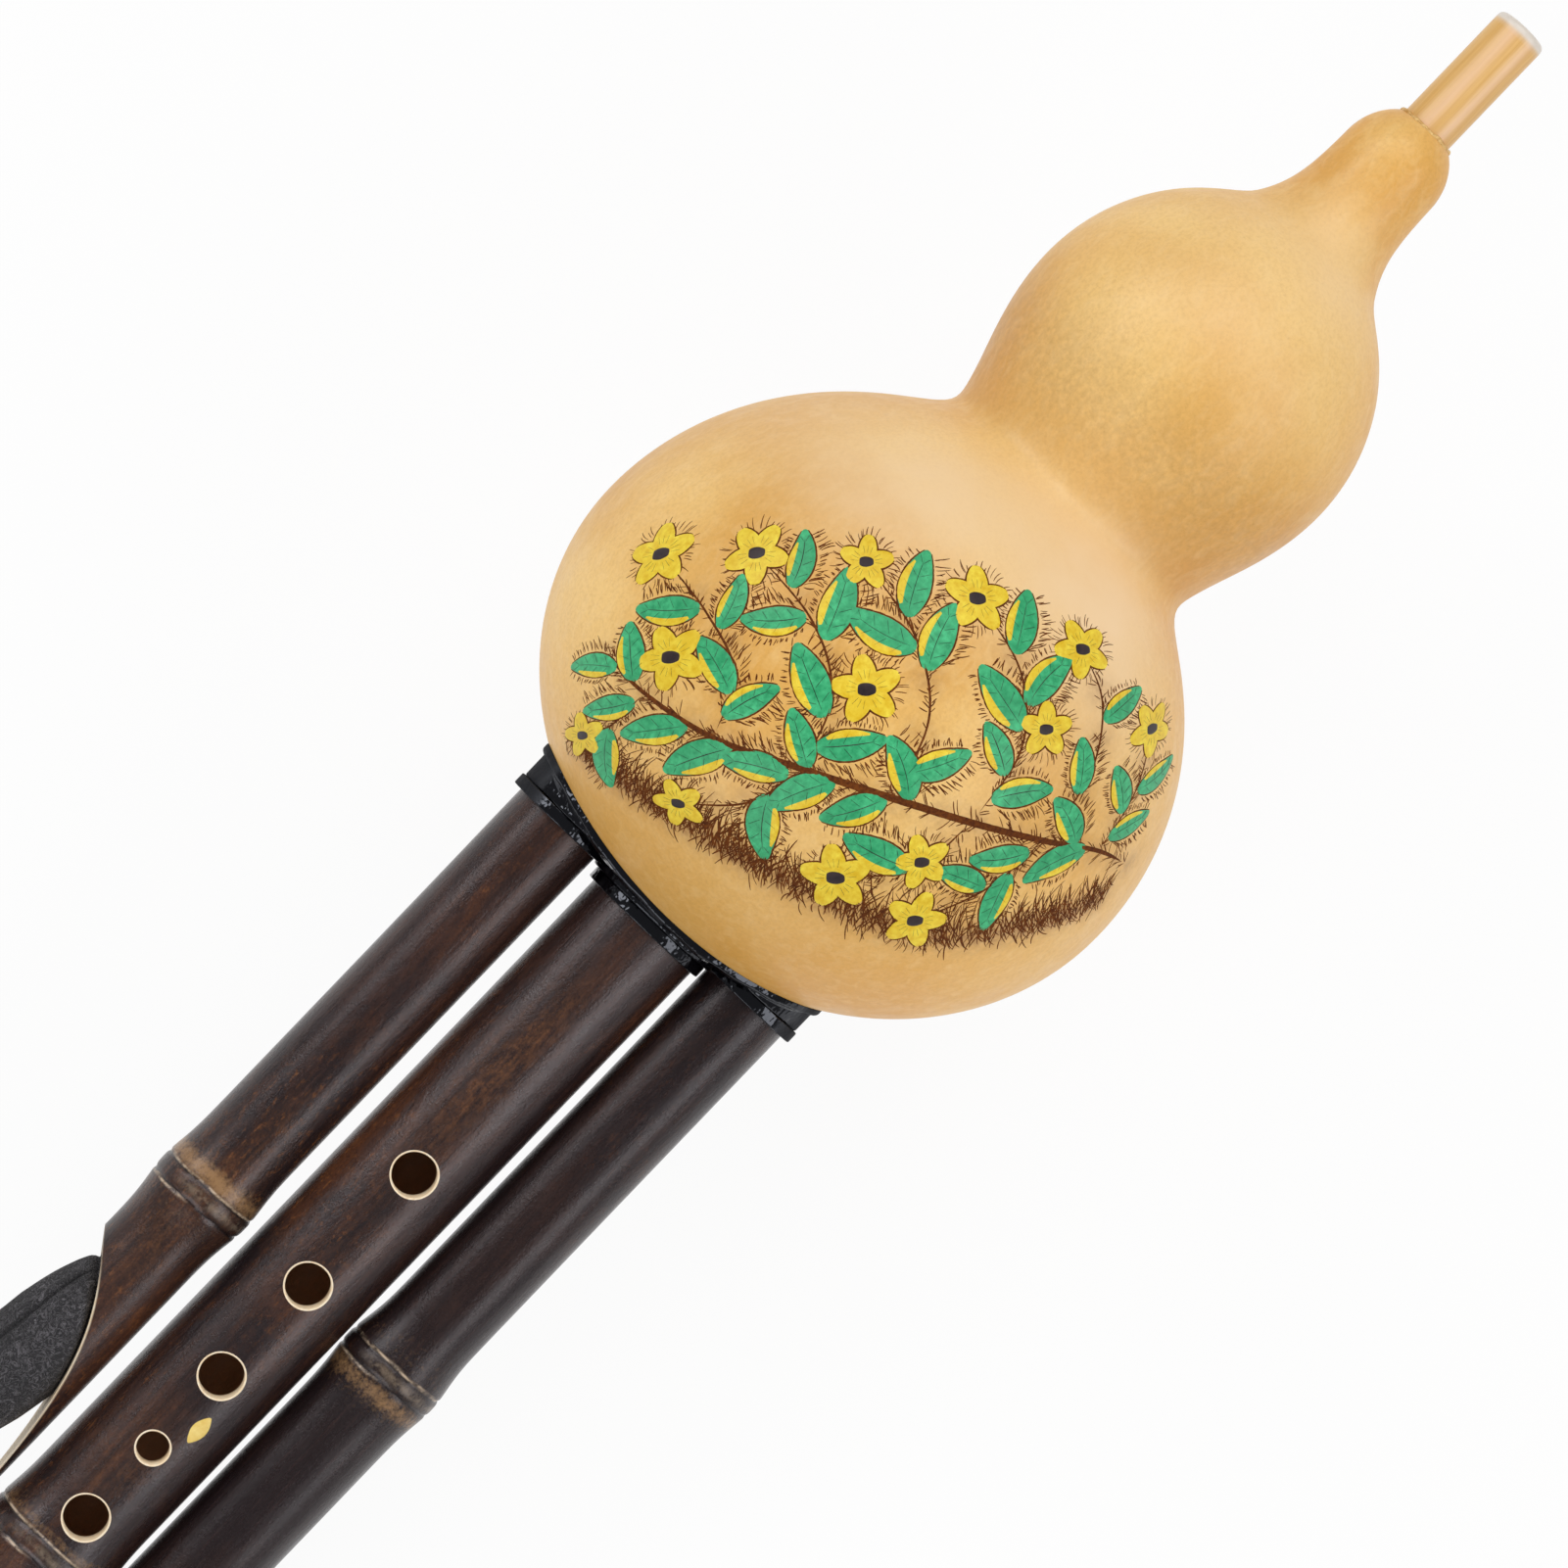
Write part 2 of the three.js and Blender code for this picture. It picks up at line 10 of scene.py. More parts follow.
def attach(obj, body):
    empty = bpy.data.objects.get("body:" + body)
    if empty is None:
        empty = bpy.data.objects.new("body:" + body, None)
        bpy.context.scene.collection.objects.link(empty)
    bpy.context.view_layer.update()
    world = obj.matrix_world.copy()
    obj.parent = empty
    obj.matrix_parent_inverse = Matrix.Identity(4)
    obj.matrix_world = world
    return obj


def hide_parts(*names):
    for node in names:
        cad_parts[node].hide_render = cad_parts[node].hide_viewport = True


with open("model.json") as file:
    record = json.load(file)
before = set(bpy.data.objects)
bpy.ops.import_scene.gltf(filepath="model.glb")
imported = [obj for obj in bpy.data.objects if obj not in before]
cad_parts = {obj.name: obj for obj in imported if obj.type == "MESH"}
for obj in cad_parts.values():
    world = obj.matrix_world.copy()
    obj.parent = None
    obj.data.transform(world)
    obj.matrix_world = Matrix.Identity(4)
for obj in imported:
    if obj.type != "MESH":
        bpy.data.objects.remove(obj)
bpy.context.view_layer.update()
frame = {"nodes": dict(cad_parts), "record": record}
print("frame loaded")

# The flute's own frame, in millimetres: x to the mouthpiece, y to the left drone, z to the holes.
# It is found again from the mount at the end of the melody pipe and from how the flute rests
rest = {"pipeEnd": 230.0, "mountHeight": 8.3, "mainTail": 10.3, "droneTail": 8.0, "droneSide": 19.05}
mm = 0.001
endMount = next(m for m in frame["record"]["mounts"] if m["name"] == "melody_pipe_end")
along = -np.array(endMount["axis"], float)
along /= np.linalg.norm(along)
roll = math.asin((rest["mainTail"] - rest["droneTail"]) / rest["droneSide"])
upright = np.array([-along[2], 0, along[0]])
sideways = np.array([0, 1.0, 0])
leftward = sideways * math.cos(roll) + upright * math.sin(roll)
frontward = upright * math.cos(roll) - sideways * math.sin(roll)
fluteAxes = np.stack([along, leftward, frontward])
home = np.array(endMount["pos_m"]) + (along * rest["pipeEnd"] - frontward * rest["mountHeight"]) * mm


def toRow(points):
    # row place = home + x along + y leftward + z frontward, in metres
    return home + (np.asarray(points, float) * mm) @ fluteAxes


def gridFaces(rows, columns, wrapRows=False, wrapColumns=True, start=0, flip=False):
    # quad i, j joins grid points (i, j), (i, j+1), (i+1, j+1) and (i+1, j)
    i = np.arange(rows if wrapRows else rows - 1)[:, None]
    j = np.arange(columns if wrapColumns else columns - 1)[None, :]
    below, right = (i + 1) % rows, (j + 1) % columns
    quads = np.stack(np.broadcast_arrays(
        i * columns + j, i * columns + right, below * columns + right, below * columns + j), -1)
    quads = quads.reshape(-1, 4) + start
    return quads[:, ::-1] if flip else quads


def signedVolume(points, blocks):
    # six times the volume: the sum of a . (b x c) over the triangles of every face
    total = 0.0
    for block in blocks:
        for k in range(1, block.shape[1] - 1):
            a, b, c = points[block[:, 0]], points[block[:, k]], points[block[:, k + 1]]
            total += np.einsum("ij,ij->", a, np.cross(b, c))
    return total


def putPiece(name, points, blocks, look, body, slotName, stands=(), marks=None, sharp=36, weld=True):
    # one mesh from points in the flute's frame and blocks of faces, turned to face outward: it keeps
    # its place and its marks as attributes, rides on a body and stands for the CAD nodes named
    points = np.asarray(points, float).reshape(-1, 3)
    blocks = [np.asarray(block, int) for block in blocks if len(block)]
    if signedVolume(points - points.mean(0), blocks) < 0:
        blocks = [block[:, ::-1] for block in blocks]
    mesh = bpy.data.meshes.new(name)
    mesh.vertices.add(len(points))
    mesh.vertices.foreach_set("co", toRow(points).ravel())
    corners = np.concatenate([block.ravel() for block in blocks])
    sizes = np.concatenate([np.full(len(block), block.shape[1]) for block in blocks])
    mesh.loops.add(len(corners))
    mesh.loops.foreach_set("vertex_index", corners)
    mesh.polygons.add(len(sizes))
    mesh.polygons.foreach_set("loop_start", np.concatenate([[0], np.cumsum(sizes)[:-1]]))
    mesh.update(calc_edges=True)
    place = mesh.attributes.new("flutePlace", "FLOAT_VECTOR", "POINT")
    place.data.foreach_set("vector", (points * mm).ravel())
    for mark, values in (marks or {}).items():
        layer = mesh.attributes.new(mark, "FLOAT", "POINT")
        layer.data.foreach_set("value", np.broadcast_to(values, len(points)).astype(float).ravel())
    if weld:
        work = bmesh.new()
        work.from_mesh(mesh)
        bmesh.ops.remove_doubles(work, verts=work.verts, dist=1.5e-6)
        bmesh.ops.dissolve_degenerate(work, edges=work.edges, dist=1e-7)
        work.to_mesh(mesh)
        work.free()
    mesh.polygons.foreach_set("use_smooth", np.ones(len(mesh.polygons), bool))
    mesh.set_sharp_from_angle(angle=math.radians(sharp))
    mesh.materials.append(look)
    piece = bpy.data.objects.new(name, mesh)
    bpy.context.scene.collection.objects.link(piece)
    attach(piece, body)
    if stands:
        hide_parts(*stands)
    return piece


def roundedPath(corners, steps=5):
    # closed path of (place, radius, round) corners; each corner becomes the quadratic curve
    # (1-s)^2 A + 2 s (1-s) P + s^2 B, with A and B the round's length before and after it
    corners = np.asarray(corners, float)
    middle, reach = corners[:, :2], corners[:, 2:3]
    before, after = np.roll(middle, 1, 0) - middle, np.roll(middle, -1, 0) - middle
    a = middle + before / np.linalg.norm(before, axis=1, keepdims=True) * reach
    b = middle + after / np.linalg.norm(after, axis=1, keepdims=True) * reach
    s = np.linspace(0, 1, steps)[None, :, None]
    curve = (1 - s) ** 2 * a[:, None] + 2 * s * (1 - s) * middle[:, None] + s ** 2 * b[:, None]
    return curve.reshape(-1, 2)


def fullTurn(count):
    # even angles once round
    return np.linspace(0, 2 * np.pi, count, endpoint=False)


def ringPoints(place, radius, angle, side=0.0):
    # (place, side + radius cos angle, radius sin angle)
    return np.stack(np.broadcast_arrays(place, side + radius * np.cos(angle), radius * np.sin(angle)), -1)


def turnedPoints(path, columns, side=0.0):
    # a ring at each (place, radius) of the path
    return ringPoints(path[:, :1], path[:, 1:2], fullTurn(columns), side)


def smoothStep(value, low, high):
    # 3 t^2 - 2 t^3 between low and high
    t = np.clip((value - low) / (high - low), 0, 1)
    return t * t * (3 - 2 * t)


def bell(value, middle, width):
    # e to the power of minus the square of the distance over the width
    return np.exp(-(((value - middle) / width) ** 2))


def patchShare(patches, place, turn):
    # the sum over (strength, middle, reach, at, width) of strength times the bell of the place round
    # the middle times the bell of the turn round at
    return sum(strength * bell(place, middle, reach) * bell(turn, at, width)
               for strength, middle, reach, at, width in patches)


# finishes: procedural materials, with the marks of a piece as shares of wear, paint and so on
def colour(red, green, blue):
    # from the screen's 0 to 255 to Blender's linear colour
    share = np.array([red, green, blue]) / 255
    linear = np.where(share <= 0.04045, share / 12.92, ((share + 0.055) / 1.055) ** 2.4)
    return (*linear.tolist(), 1.0)


class Finish:
    # one material: its shader, its coordinates, its base colour so far and short ways to add nodes
    def __init__(self, name, roughness=0.5, ownPlace=True, **sockets):
        # the coordinates are the piece's own place, or else the object's for a CAD node
        self.material = bpy.data.materials.new(name)
        self.material.use_nodes = True
        self.tree = self.material.node_tree
        self.shader = self.tree.nodes["Principled BSDF"]
        self.shader.inputs["Roughness"].default_value = roughness
        for socket, value in sockets.items():
            self.shader.inputs[socket.replace("_", " ")].default_value = value
        if ownPlace:
            node = self.node("ShaderNodeAttribute")
            node.attribute_name = "flutePlace"
            self.place = node.outputs["Vector"]
        else:
            self.place = self.node("ShaderNodeTexCoord").outputs["Object"]

    def node(self, kind):
        # a new node of a kind
        return self.tree.nodes.new(kind)

    def link(self, output, node, socket):
        # an output into a socket of a node
        self.tree.links.new(output, node.inputs[socket])

    def stretched(self, scale):
        # the place times a scale for each axis
        node = self.node("ShaderNodeMapping")
        self.link(self.place, node, "Vector")
        node.inputs["Scale"].default_value = scale
        return node.outputs["Vector"]

    def lengthwise(self):
        # the place along the flute, in metres
        node = self.node("ShaderNodeSeparateXYZ")
        self.link(self.place, node, "Vector")
        return node.outputs["X"]

    def noise(self, scale, detail=3.0, rough=0.5, stretch=None, warp=0.0):
        # smooth noise from 0 to 1, with scale waves to the metre
        node = self.node("ShaderNodeTexNoise")
        self.link(self.stretched(stretch) if stretch else self.place, node, "Vector")
        node.inputs["Scale"].default_value = scale
        node.inputs["Detail"].default_value = detail
        node.inputs["Roughness"].default_value = rough
        node.inputs["Distortion"].default_value = warp
        return node.outputs["Fac"]

    def cells(self, scale):
        # distance to the nearest of scattered points, in cells
        node = self.node("ShaderNodeTexVoronoi")
        self.link(self.place, node, "Vector")
        node.inputs["Scale"].default_value = scale
        return node.outputs["Distance"]

    def mark(self, name):
        # one of the marks that the piece carries
        node = self.node("ShaderNodeAttribute")
        node.attribute_name = name
        return node.outputs["Fac"]

    def spread(self, value, fromLow, fromHigh, toLow=0.0, toHigh=1.0):
        # straight line from one range to the other, held at its ends
        node = self.node("ShaderNodeMapRange")
        self.link(value, node, "Value")
        for socket, number in zip(("From Min", "From Max", "To Min", "To Max"),
                                  (fromLow, fromHigh, toLow, toHigh)):
            node.inputs[socket].default_value = number
        return node.outputs["Result"]

    def combine(self, kind, one, other):
        # one sum, product or other operation on two outputs or numbers
        node = self.node("ShaderNodeMath")
        node.operation = kind
        for socket, value in enumerate((one, other)):
            if isinstance(value, (int, float)):
                node.inputs[socket].default_value = value
            else:
                self.link(value, node, socket)
        return node.outputs["Value"]

    def times(self, one, other):
        # the product of two outputs or numbers
        return self.combine("MULTIPLY", one, other)

    def mix(self, share, one, other):
        # the first colour where the share is 0 and the second where it is 1
        node = self.node("ShaderNodeMix")
        node.data_type = "RGBA"
        self.link(share, node, 0)
        for socket, value in ((6, one), (7, other)):
            if isinstance(value, tuple):
                node.inputs[socket].default_value = value
            else:
                self.link(value, node, socket)
        return node.outputs[2]

    def over(self, share, red, green, blue):
        # one more colour laid over the base by its share
        self.base = self.mix(share, self.base, colour(red, green, blue))

    def bump(self, height, distance, strength=1.0, under=None):
        # a normal tilted by the slope of a height, over the normal under it
        node = self.node("ShaderNodeBump")
        self.link(height, node, "Height")
        node.inputs["Distance"].default_value = distance
        node.inputs["Strength"].default_value = strength
        if under is not None:
            self.link(under, node, "Normal")
        return node.outputs["Normal"]

    def finish(self, roughness, normal):
        # base colour, roughness and normal go into the shader
        for socket, value in (("Base Color", self.base), ("Roughness", roughness), ("Normal", normal)):
            self.link(value, self.shader, socket)
        return self.material


def gourdFinish():
    # golden shell: broad mottling, ochre where it is ripest and as painted shade on its shaded side,
    # speckle, threads and pores, pale patches of painted highlight and sheen, scorched ground under the
    # painted branch and painted shade round the waist
    f = Finish("gourdShellVarnished", Coat_Weight=0.24, Coat_Roughness=0.42, Specular_IOR_Level=0.35)
    broad = f.noise(24, 2, 0.5, warp=0.3)
    f.base = f.mix(f.spread(broad, 0.36, 0.64), colour(229, 172, 82), colour(249, 206, 128))
    # ochre: the riper tone, and painted shade on the shaded side and flanks
    f.over(f.times(f.mark("ochre"), f.spread(f.noise(40, 4), 0.3, 0.7, 0.45, 1)), 222, 156, 54)
    fine = f.noise(1700, 3, 0.65)
    f.over(f.spread(fine, 0.42, 0.72, 0, 0.3), 200, 144, 66)
    threads = f.noise(520, 4, 0.6, stretch=(0.6, 1, 1), warp=0.7)
    f.over(f.spread(threads, 0.45, 0.75, 0, 0.3), 253, 218, 154)
    pores = f.cells(620)
    f.over(f.spread(pores, 0.05, 0.14, 0.14, 0), 176, 118, 54)
    # painted highlights: pale sheen patches where the lamps would shine on the varnish
    f.over(f.times(f.mark("bloom"), f.spread(f.noise(60, 4, 0.6), 0.3, 0.7, 0.6, 1)), 251, 216, 168)
    # scorch round the painted branch, and painted shade round the waist
    f.over(f.times(f.mark("scorch"), f.spread(f.noise(900, 3), 0.35, 0.6, 0.5, 1)), 128, 74, 34)
    f.over(f.mark("inner"), 222, 200, 158)
    rough = f.spread(f.noise(300, 3), 0.3, 0.7, 0.4, 0.52)
    normal = f.bump(threads, 0.00004, 0.5, f.bump(pores, 0.00003, 0.25))
    return f.finish(rough, normal)


def bambooFinish(name="stainedBamboo", shine=0.54, warmth=0.2, redness=1.0):
    # dark stain over bamboo: red-brown clouds and flecks, warmer by the base, amber patches, long
    # grain, worn bands, chalky lines, pale cut faces
    f = Finish(name, Coat_Weight=0.15, Coat_Roughness=0.22, Specular_IOR_Level=shine,
               Specular_Tint=(1.0, 0.92, 0.96, 1.0))
    grain = f.noise(900, 5, 0.66, stretch=(0.045, 1, 1))
    clouds = f.noise(90, 8, 0.78, stretch=(0.36, 1, 1), warp=0.5)
    patches = f.noise(26, 4, 0.6, stretch=(0.5, 1, 1), warp=0.5)
    red = f.times(f.spread(clouds, 0.42, 0.66), f.spread(patches, 0.38, 0.6, 0.15 * redness, redness))
    f.base = f.mix(red, colour(35, 26, 27), colour(96, 57, 34))
    flecks = f.times(f.spread(f.noise(1100, 5, 0.8, stretch=(0.5, 1, 1)), 0.54, 0.66),
                   f.spread(patches, 0.46, 0.6, 0, 0.75 * redness))
    f.over(flecks, 144, 90, 46)
    nearBase = f.spread(f.lengthwise(), -0.08, -0.02, 0, warmth)
    f.over(f.times(nearBase, f.spread(clouds, 0.3, 0.6, 0.4, 1)), 94, 57, 40)
    mottled = f.spread(f.noise(700, 6, 0.8, stretch=(0.6, 1, 1)), 0.42, 0.6, 0.1, 1)
    f.over(f.times(f.mark("amber"), mottled), 122, 80, 50)
    f.over(f.spread(grain, 0.4, 0.64, 0, 0.65), 24, 17, 19)
    pale = f.noise(1300, 4, 0.7, stretch=(0.07, 1, 1))
    f.over(f.spread(pale, 0.56, 0.76, 0, 0.25), 98, 70, 64)
    speckle = f.noise(2600, 3, 0.7)
    f.over(f.spread(speckle, 0.48, 0.66, 0, 0.5), 20, 14, 15)
    crumbs = f.noise(1500, 4, 0.75)
    wornEdge = f.combine("ADD", f.mark("worn"), f.spread(crumbs, 0.3, 0.7, -0.45, 0.45))
    f.over(f.times(f.spread(wornEdge, 0.2, 0.9), f.combine("POWER", f.mark("worn"), 0.6)), 152, 117, 80)
    f.over(f.mark("groove"), 20, 14, 16)
    chalk = f.times(f.mark("chalk"), f.spread(f.noise(480, 4, 0.75), 0.4, 0.56, 0.05, 1))
    f.over(chalk, 214, 190, 162)
    f.over(f.mark("inside"), 168, 120, 84)
    fibres = f.noise(2200, 2, 0.5, stretch=(0.1, 1, 1))
    bare = f.mix(f.spread(fibres, 0.35, 0.7), colour(248, 222, 184), colour(255, 243, 218))
    f.base = f.mix(f.mark("cut"), f.base, bare)
    rough = f.spread(f.noise(420, 5, 0.7, stretch=(0.4, 1, 1)), 0.3, 0.7, 0.2, 0.34)
    rough = f.combine("MAXIMUM", rough, f.spread(f.mark("dull"), 0, 1, 0, 0.75))
    normal = f.bump(grain, 0.0001, 0.6, f.bump(clouds, 0.0006, 0.4, f.bump(speckle, 0.00008, 0.7)))
    return f.finish(rough, normal)


def mouthpieceFinish():
    # bare bamboo: golden, with fine lengthwise fibres, pinkish stripes of painted highlight and a pale rubbed
    # tip
    f = Finish("paleBamboo", Coat_Weight=0.35, Coat_Roughness=0.34, Specular_IOR_Level=0.4)
    fibres = f.noise(1900, 3, 0.55, stretch=(0.03, 1, 1))
    f.base = f.mix(f.spread(fibres, 0.3, 0.72), colour(216, 164, 84), colour(232, 186, 114))
    cloudy = f.spread(f.noise(140, 3, stretch=(0.3, 1, 1)), 0.3, 0.7, 0.7, 1)
    # painted highlight: pinkish stripes where the lamps would shine
    f.over(f.times(f.mark("blush"), cloudy), 250, 210, 176)
    f.over(f.mark("tip"), 226, 216, 204)
    f.over(f.mark("inside"), 150, 108, 66)
    rough = f.spread(fibres, 0.3, 0.7, 0.36, 0.48)
    return f.finish(rough, f.bump(fibres, 0.00002, 0.25))


def plasticFinish():
    # moulded black plastic: glossy and uneven, duller at the ends
    f = Finish("blackMoulding", Specular_IOR_Level=0.54, Specular_Tint=(0.84, 0.88, 1.0, 1.0))
    wisps = f.noise(180, 3, 0.6)
    f.base = f.mix(f.spread(wisps, 0.35, 0.7), colour(3, 3, 5), colour(9, 9, 13))
    rough = f.spread(f.noise(500, 4, 0.6), 0.3, 0.7, 0.07, 0.16)
    rough = f.combine("MAXIMUM", rough, f.spread(f.mark("dull"), 0, 1, 0, 0.85))
    return f.finish(rough, f.bump(f.noise(260, 3, 0.6), 0.0009, 0.55))


def foamFinish():
    # dark foam with a finely wrinkled skin: winding wrinkles, small cells, pale specks, a crease darkened by
    # painted shade
    f = Finish("darkFoam", Specular_IOR_Level=0.3, Sheen_Weight=0.08, Sheen_Roughness=0.6)
    wrinkles = f.noise(560, 4, 0.62, warp=2.2)
    ridge = f.combine("ABSOLUTE", f.combine("SUBTRACT", wrinkles, 0.5), 0.0)
    cell = f.cells(2300)
    f.base = f.mix(f.spread(ridge, 0.0, 0.06), colour(136, 132, 138), colour(44, 42, 46))
    f.over(f.spread(cell, 0.1, 0.6, 0.35, 0), 30, 31, 33)
    specks = f.noise(2600, 2, 0.6)
    f.over(f.spread(specks, 0.6, 0.72, 0, 0.6), 112, 112, 116)
    f.over(f.spread(f.noise(160, 3), 0.4, 0.7, 0, 0.45), 42, 40, 42)
    # painted shade: the crease painted darker
    f.over(f.mark("crease"), 22, 21, 24)
    normal = f.bump(f.spread(ridge, 0, 0.1), 0.0006, 1.0, f.bump(cell, 0.00014, 0.6))
    return f.finish(f.spread(cell, 0, 0.6, 0.92, 0.76), normal)


def paintFinish(name, dark, light, rough, scale=900, shine=0.4):
    # brushed paint: uneven cover between two tones
    f = Finish(name, Specular_IOR_Level=shine)
    strokes = f.noise(scale, 3, 0.6)
    broad = f.noise(scale / 6, 2, 0.5)
    f.base = f.mix(f.spread(strokes, 0.3, 0.7), colour(*dark), colour(*light))
    f.over(f.spread(broad, 0.4, 0.7, 0, 0.5), *dark)
    return f.finish(f.spread(strokes, 0.3, 0.7, rough, rough + 0.12), f.bump(strokes, 0.00003, 0.4))


def corkFinish():
    # cork: lighter and darker lumps with dark pits
    f = Finish("corkGrain", ownPlace=False, Specular_IOR_Level=0.25)
    lumps = f.cells(900)
    f.base = f.mix(f.spread(lumps, 0.1, 0.6), colour(150, 104, 64), colour(196, 150, 102))
    pits = f.noise(1300, 3, 0.65)
    f.over(f.spread(pits, 0.6, 0.72, 0, 0.8), 92, 58, 34)
    return f.finish(f.spread(lumps, 0, 0.6, 0.92, 0.78), f.bump(pits, 0.00015, 0.6))


def reedTubeFinish():
    # bare reed: long fibres of two tones
    f = Finish("reedTubeBamboo", ownPlace=False, Specular_IOR_Level=0.4)
    fibres = f.noise(900, 4, 0.6, stretch=(0.05, 1, 1))
    f.base = f.mix(f.spread(fibres, 0.3, 0.7), colour(196, 158, 98), colour(230, 200, 146))
    return f.finish(f.spread(fibres, 0.3, 0.7, 0.5, 0.66), f.bump(fibres, 0.00006, 0.5))


def brassFinish():
    # brushed brass: cloudy tone with fine lengthwise lines
    f = Finish("brushedBrass", ownPlace=False, Metallic=1.0)
    lines = f.noise(2500, 3, 0.6, stretch=(0.06, 1, 1))
    f.base = f.mix(f.spread(f.noise(200, 3), 0.35, 0.7), colour(190, 148, 70), colour(214, 176, 96))
    return f.finish(f.spread(lines, 0.3, 0.7, 0.24, 0.42), f.bump(lines, 0.00003, 0.5))


looks = {
    "gourd": gourdFinish(),
    "bamboo": bambooFinish(),
    "warmBamboo": bambooFinish("warmBamboo", 0.42, 0.2, 0.9),
    "darkBamboo": bambooFinish("darkBamboo", 0.38, 0.0, 0.45),
    "mouthpiece": mouthpieceFinish(),
    "plastic": plasticFinish(),
    "foam": foamFinish(),
    "cork": corkFinish(),
    "reedTube": reedTubeFinish(),
    "brass": brassFinish(),
    "leafPaint": paintFinish("greenPaint", (34, 150, 96), (74, 200, 136), 0.4),
    "petalPaint": paintFinish("yellowPaint", (228, 186, 24), (250, 226, 70), 0.42),
    "inkPaint": paintFinish("inkPaint", (30, 20, 26), (56, 38, 40), 0.42),
    "burntLine": paintFinish("burntLine", (74, 32, 8), (126, 68, 22), 0.7, 1800, 0.15),
    "goldPaint": paintFinish("goldPaint", (232, 196, 96), (252, 230, 150), 0.36),
    "glue": paintFinish("driedGlue", (190, 134, 56), (246, 212, 144), 0.4, 1400),
}
for node in frame["nodes"].values():
    kind = {"tenon_cork": "cork", "reed_stopper": "cork", "reed_tube": "reedTube", "reed_plate": "brass"}
    found = [look for ending, look in kind.items() if node.name.endswith(ending)]
    if found:
        node.data.materials.clear()
        node.data.materials.append(looks[found[0]])
print("finishes made")

# gourd
allRound = math.inf
gourd = {
    "bigRadius": 49.9, "bigCentre": 38.5, "bigBelow": 43.4, "bigAbove": 47.8,
    "smallRadius": 28.4, "smallCentre": 108.2, "smallBelow": 30.2, "smallAbove": 29.6,
    "waistRadius": 22.0, "waistCentre": 85.5475, "waistReach": 25.0,
    "neckRadius": 8.6, "neckStart": 134.84, "neckFlare": 10.0, "flareLength": 3.6,
    "domeCentre": 152.94, "domeLength": 9.4, "blend": 8, "wall": 4.0, "bend": 2.3,
    "neckBore": 4.65, "lip": 0.5, "inset": 0.14, "dents": 0.1, "steepest": 8, "columns": 192,
    "rowsBelow": 64, "rowsAbove": 144, "domeRows": 14, "innerRowsAbove": 70, "innerRowsBelow": 30,
    "waistBlend": [(0.12, -5.6), (0.23, -2.8), (0.3, 0), (0.23, 2.8), (0.12, 5.6)],
    # patches of colour: ochre, partly painted shade; pale painted highlights; painted shade round the
    # waist. Each is strength, place and its reach, turn and its width
    "ochreAndShadePatches": [(-0.6, 156, 7, 0.9, 0.7), (0.4, 88, 7, 0, allRound), (0.8, 97, 12, 2.35, 0.45),
                     (0.7, 152, 7, 2.2, 0.5)],
    "paintedHighlightPatches": [(0.5, 79, 6, 1.6, 0.6), (1, 71, 13, 1.95, 0.42), (0.6, 71, 8, 1.2, 0.5),
                    (0.4, 66, 12, 0.67, 0.5), (0.5, 62, 8, 1.02, 0.3), (0.3, 117, 9, 1.5, 0.7),
                    (0.5, 135, 10, 1.6, 0.9)],
    "paintedShadeWaist": [(0.22, 97, 10, 0, allRound)],
}
reachShare = math.sqrt(1 - ((gourd["neckBore"] + gourd["lip"]) / gourd["neckRadius"]) ** 2)
gourd["top"] = gourd["domeCentre"] + gourd["domeLength"] * reachShare
oval = {"halfWidth": 28.1, "halfDepth": 14.4, "centre": 0.45, "gap": 0.3}


def gourdRadius(place, grow=0.0, throat=None):
    # two half-ellipse lobes, the waist and the flared neck blended, evened out round the waist by
    # the weighted mean of near places; past the neck the dome's ellipse brings it down
    g = gourd
    place = np.asarray(place, float)

    def lobe(centre, below, above, radius):
        # an ellipse with a length of its own to each side of its centre
        share = (place - centre) / (np.where(place < centre, below, above) + grow)
        return (radius + grow) * np.sqrt(np.clip(1 - share * share, 0, None))

    throat = g["neckRadius"] if throat is None else throat

    def blended(place):
        # the outline before it is evened out
        return bodyOf(place, lobe, throat)

    near = smoothStep(place, 50, 66) * (1 - smoothStep(place, 100, 120))
    body = blended(place)
    around = sum(share * blended(place + shift) for share, shift in g["waistBlend"])
    body = body + near * (around - body)
    over = np.clip((place - g["domeCentre"]) / g["domeLength"], 0, 1)
    return body * (np.sqrt(1 - over * over) if grow >= 0 else 1)


def bodyOf(place, lobe, throat):
    # the 8th root of the sum of 8th powers, before the dome
    g = gourd
    flare = g["neckFlare"] / (1 + np.exp((place - g["neckStart"]) / g["flareLength"]))
    parts = [
        lobe(g["bigCentre"], g["bigBelow"], g["bigAbove"], g["bigRadius"]),
        lobe(g["smallCentre"], g["smallBelow"], g["smallAbove"], g["smallRadius"]),
        lobe(g["waistCentre"], g["waistReach"], g["waistReach"], g["waistRadius"]),
        np.where(place > g["bigCentre"], throat + flare, 0),
    ]
    return sum(part ** g["blend"] for part in parts) ** (1 / g["blend"])


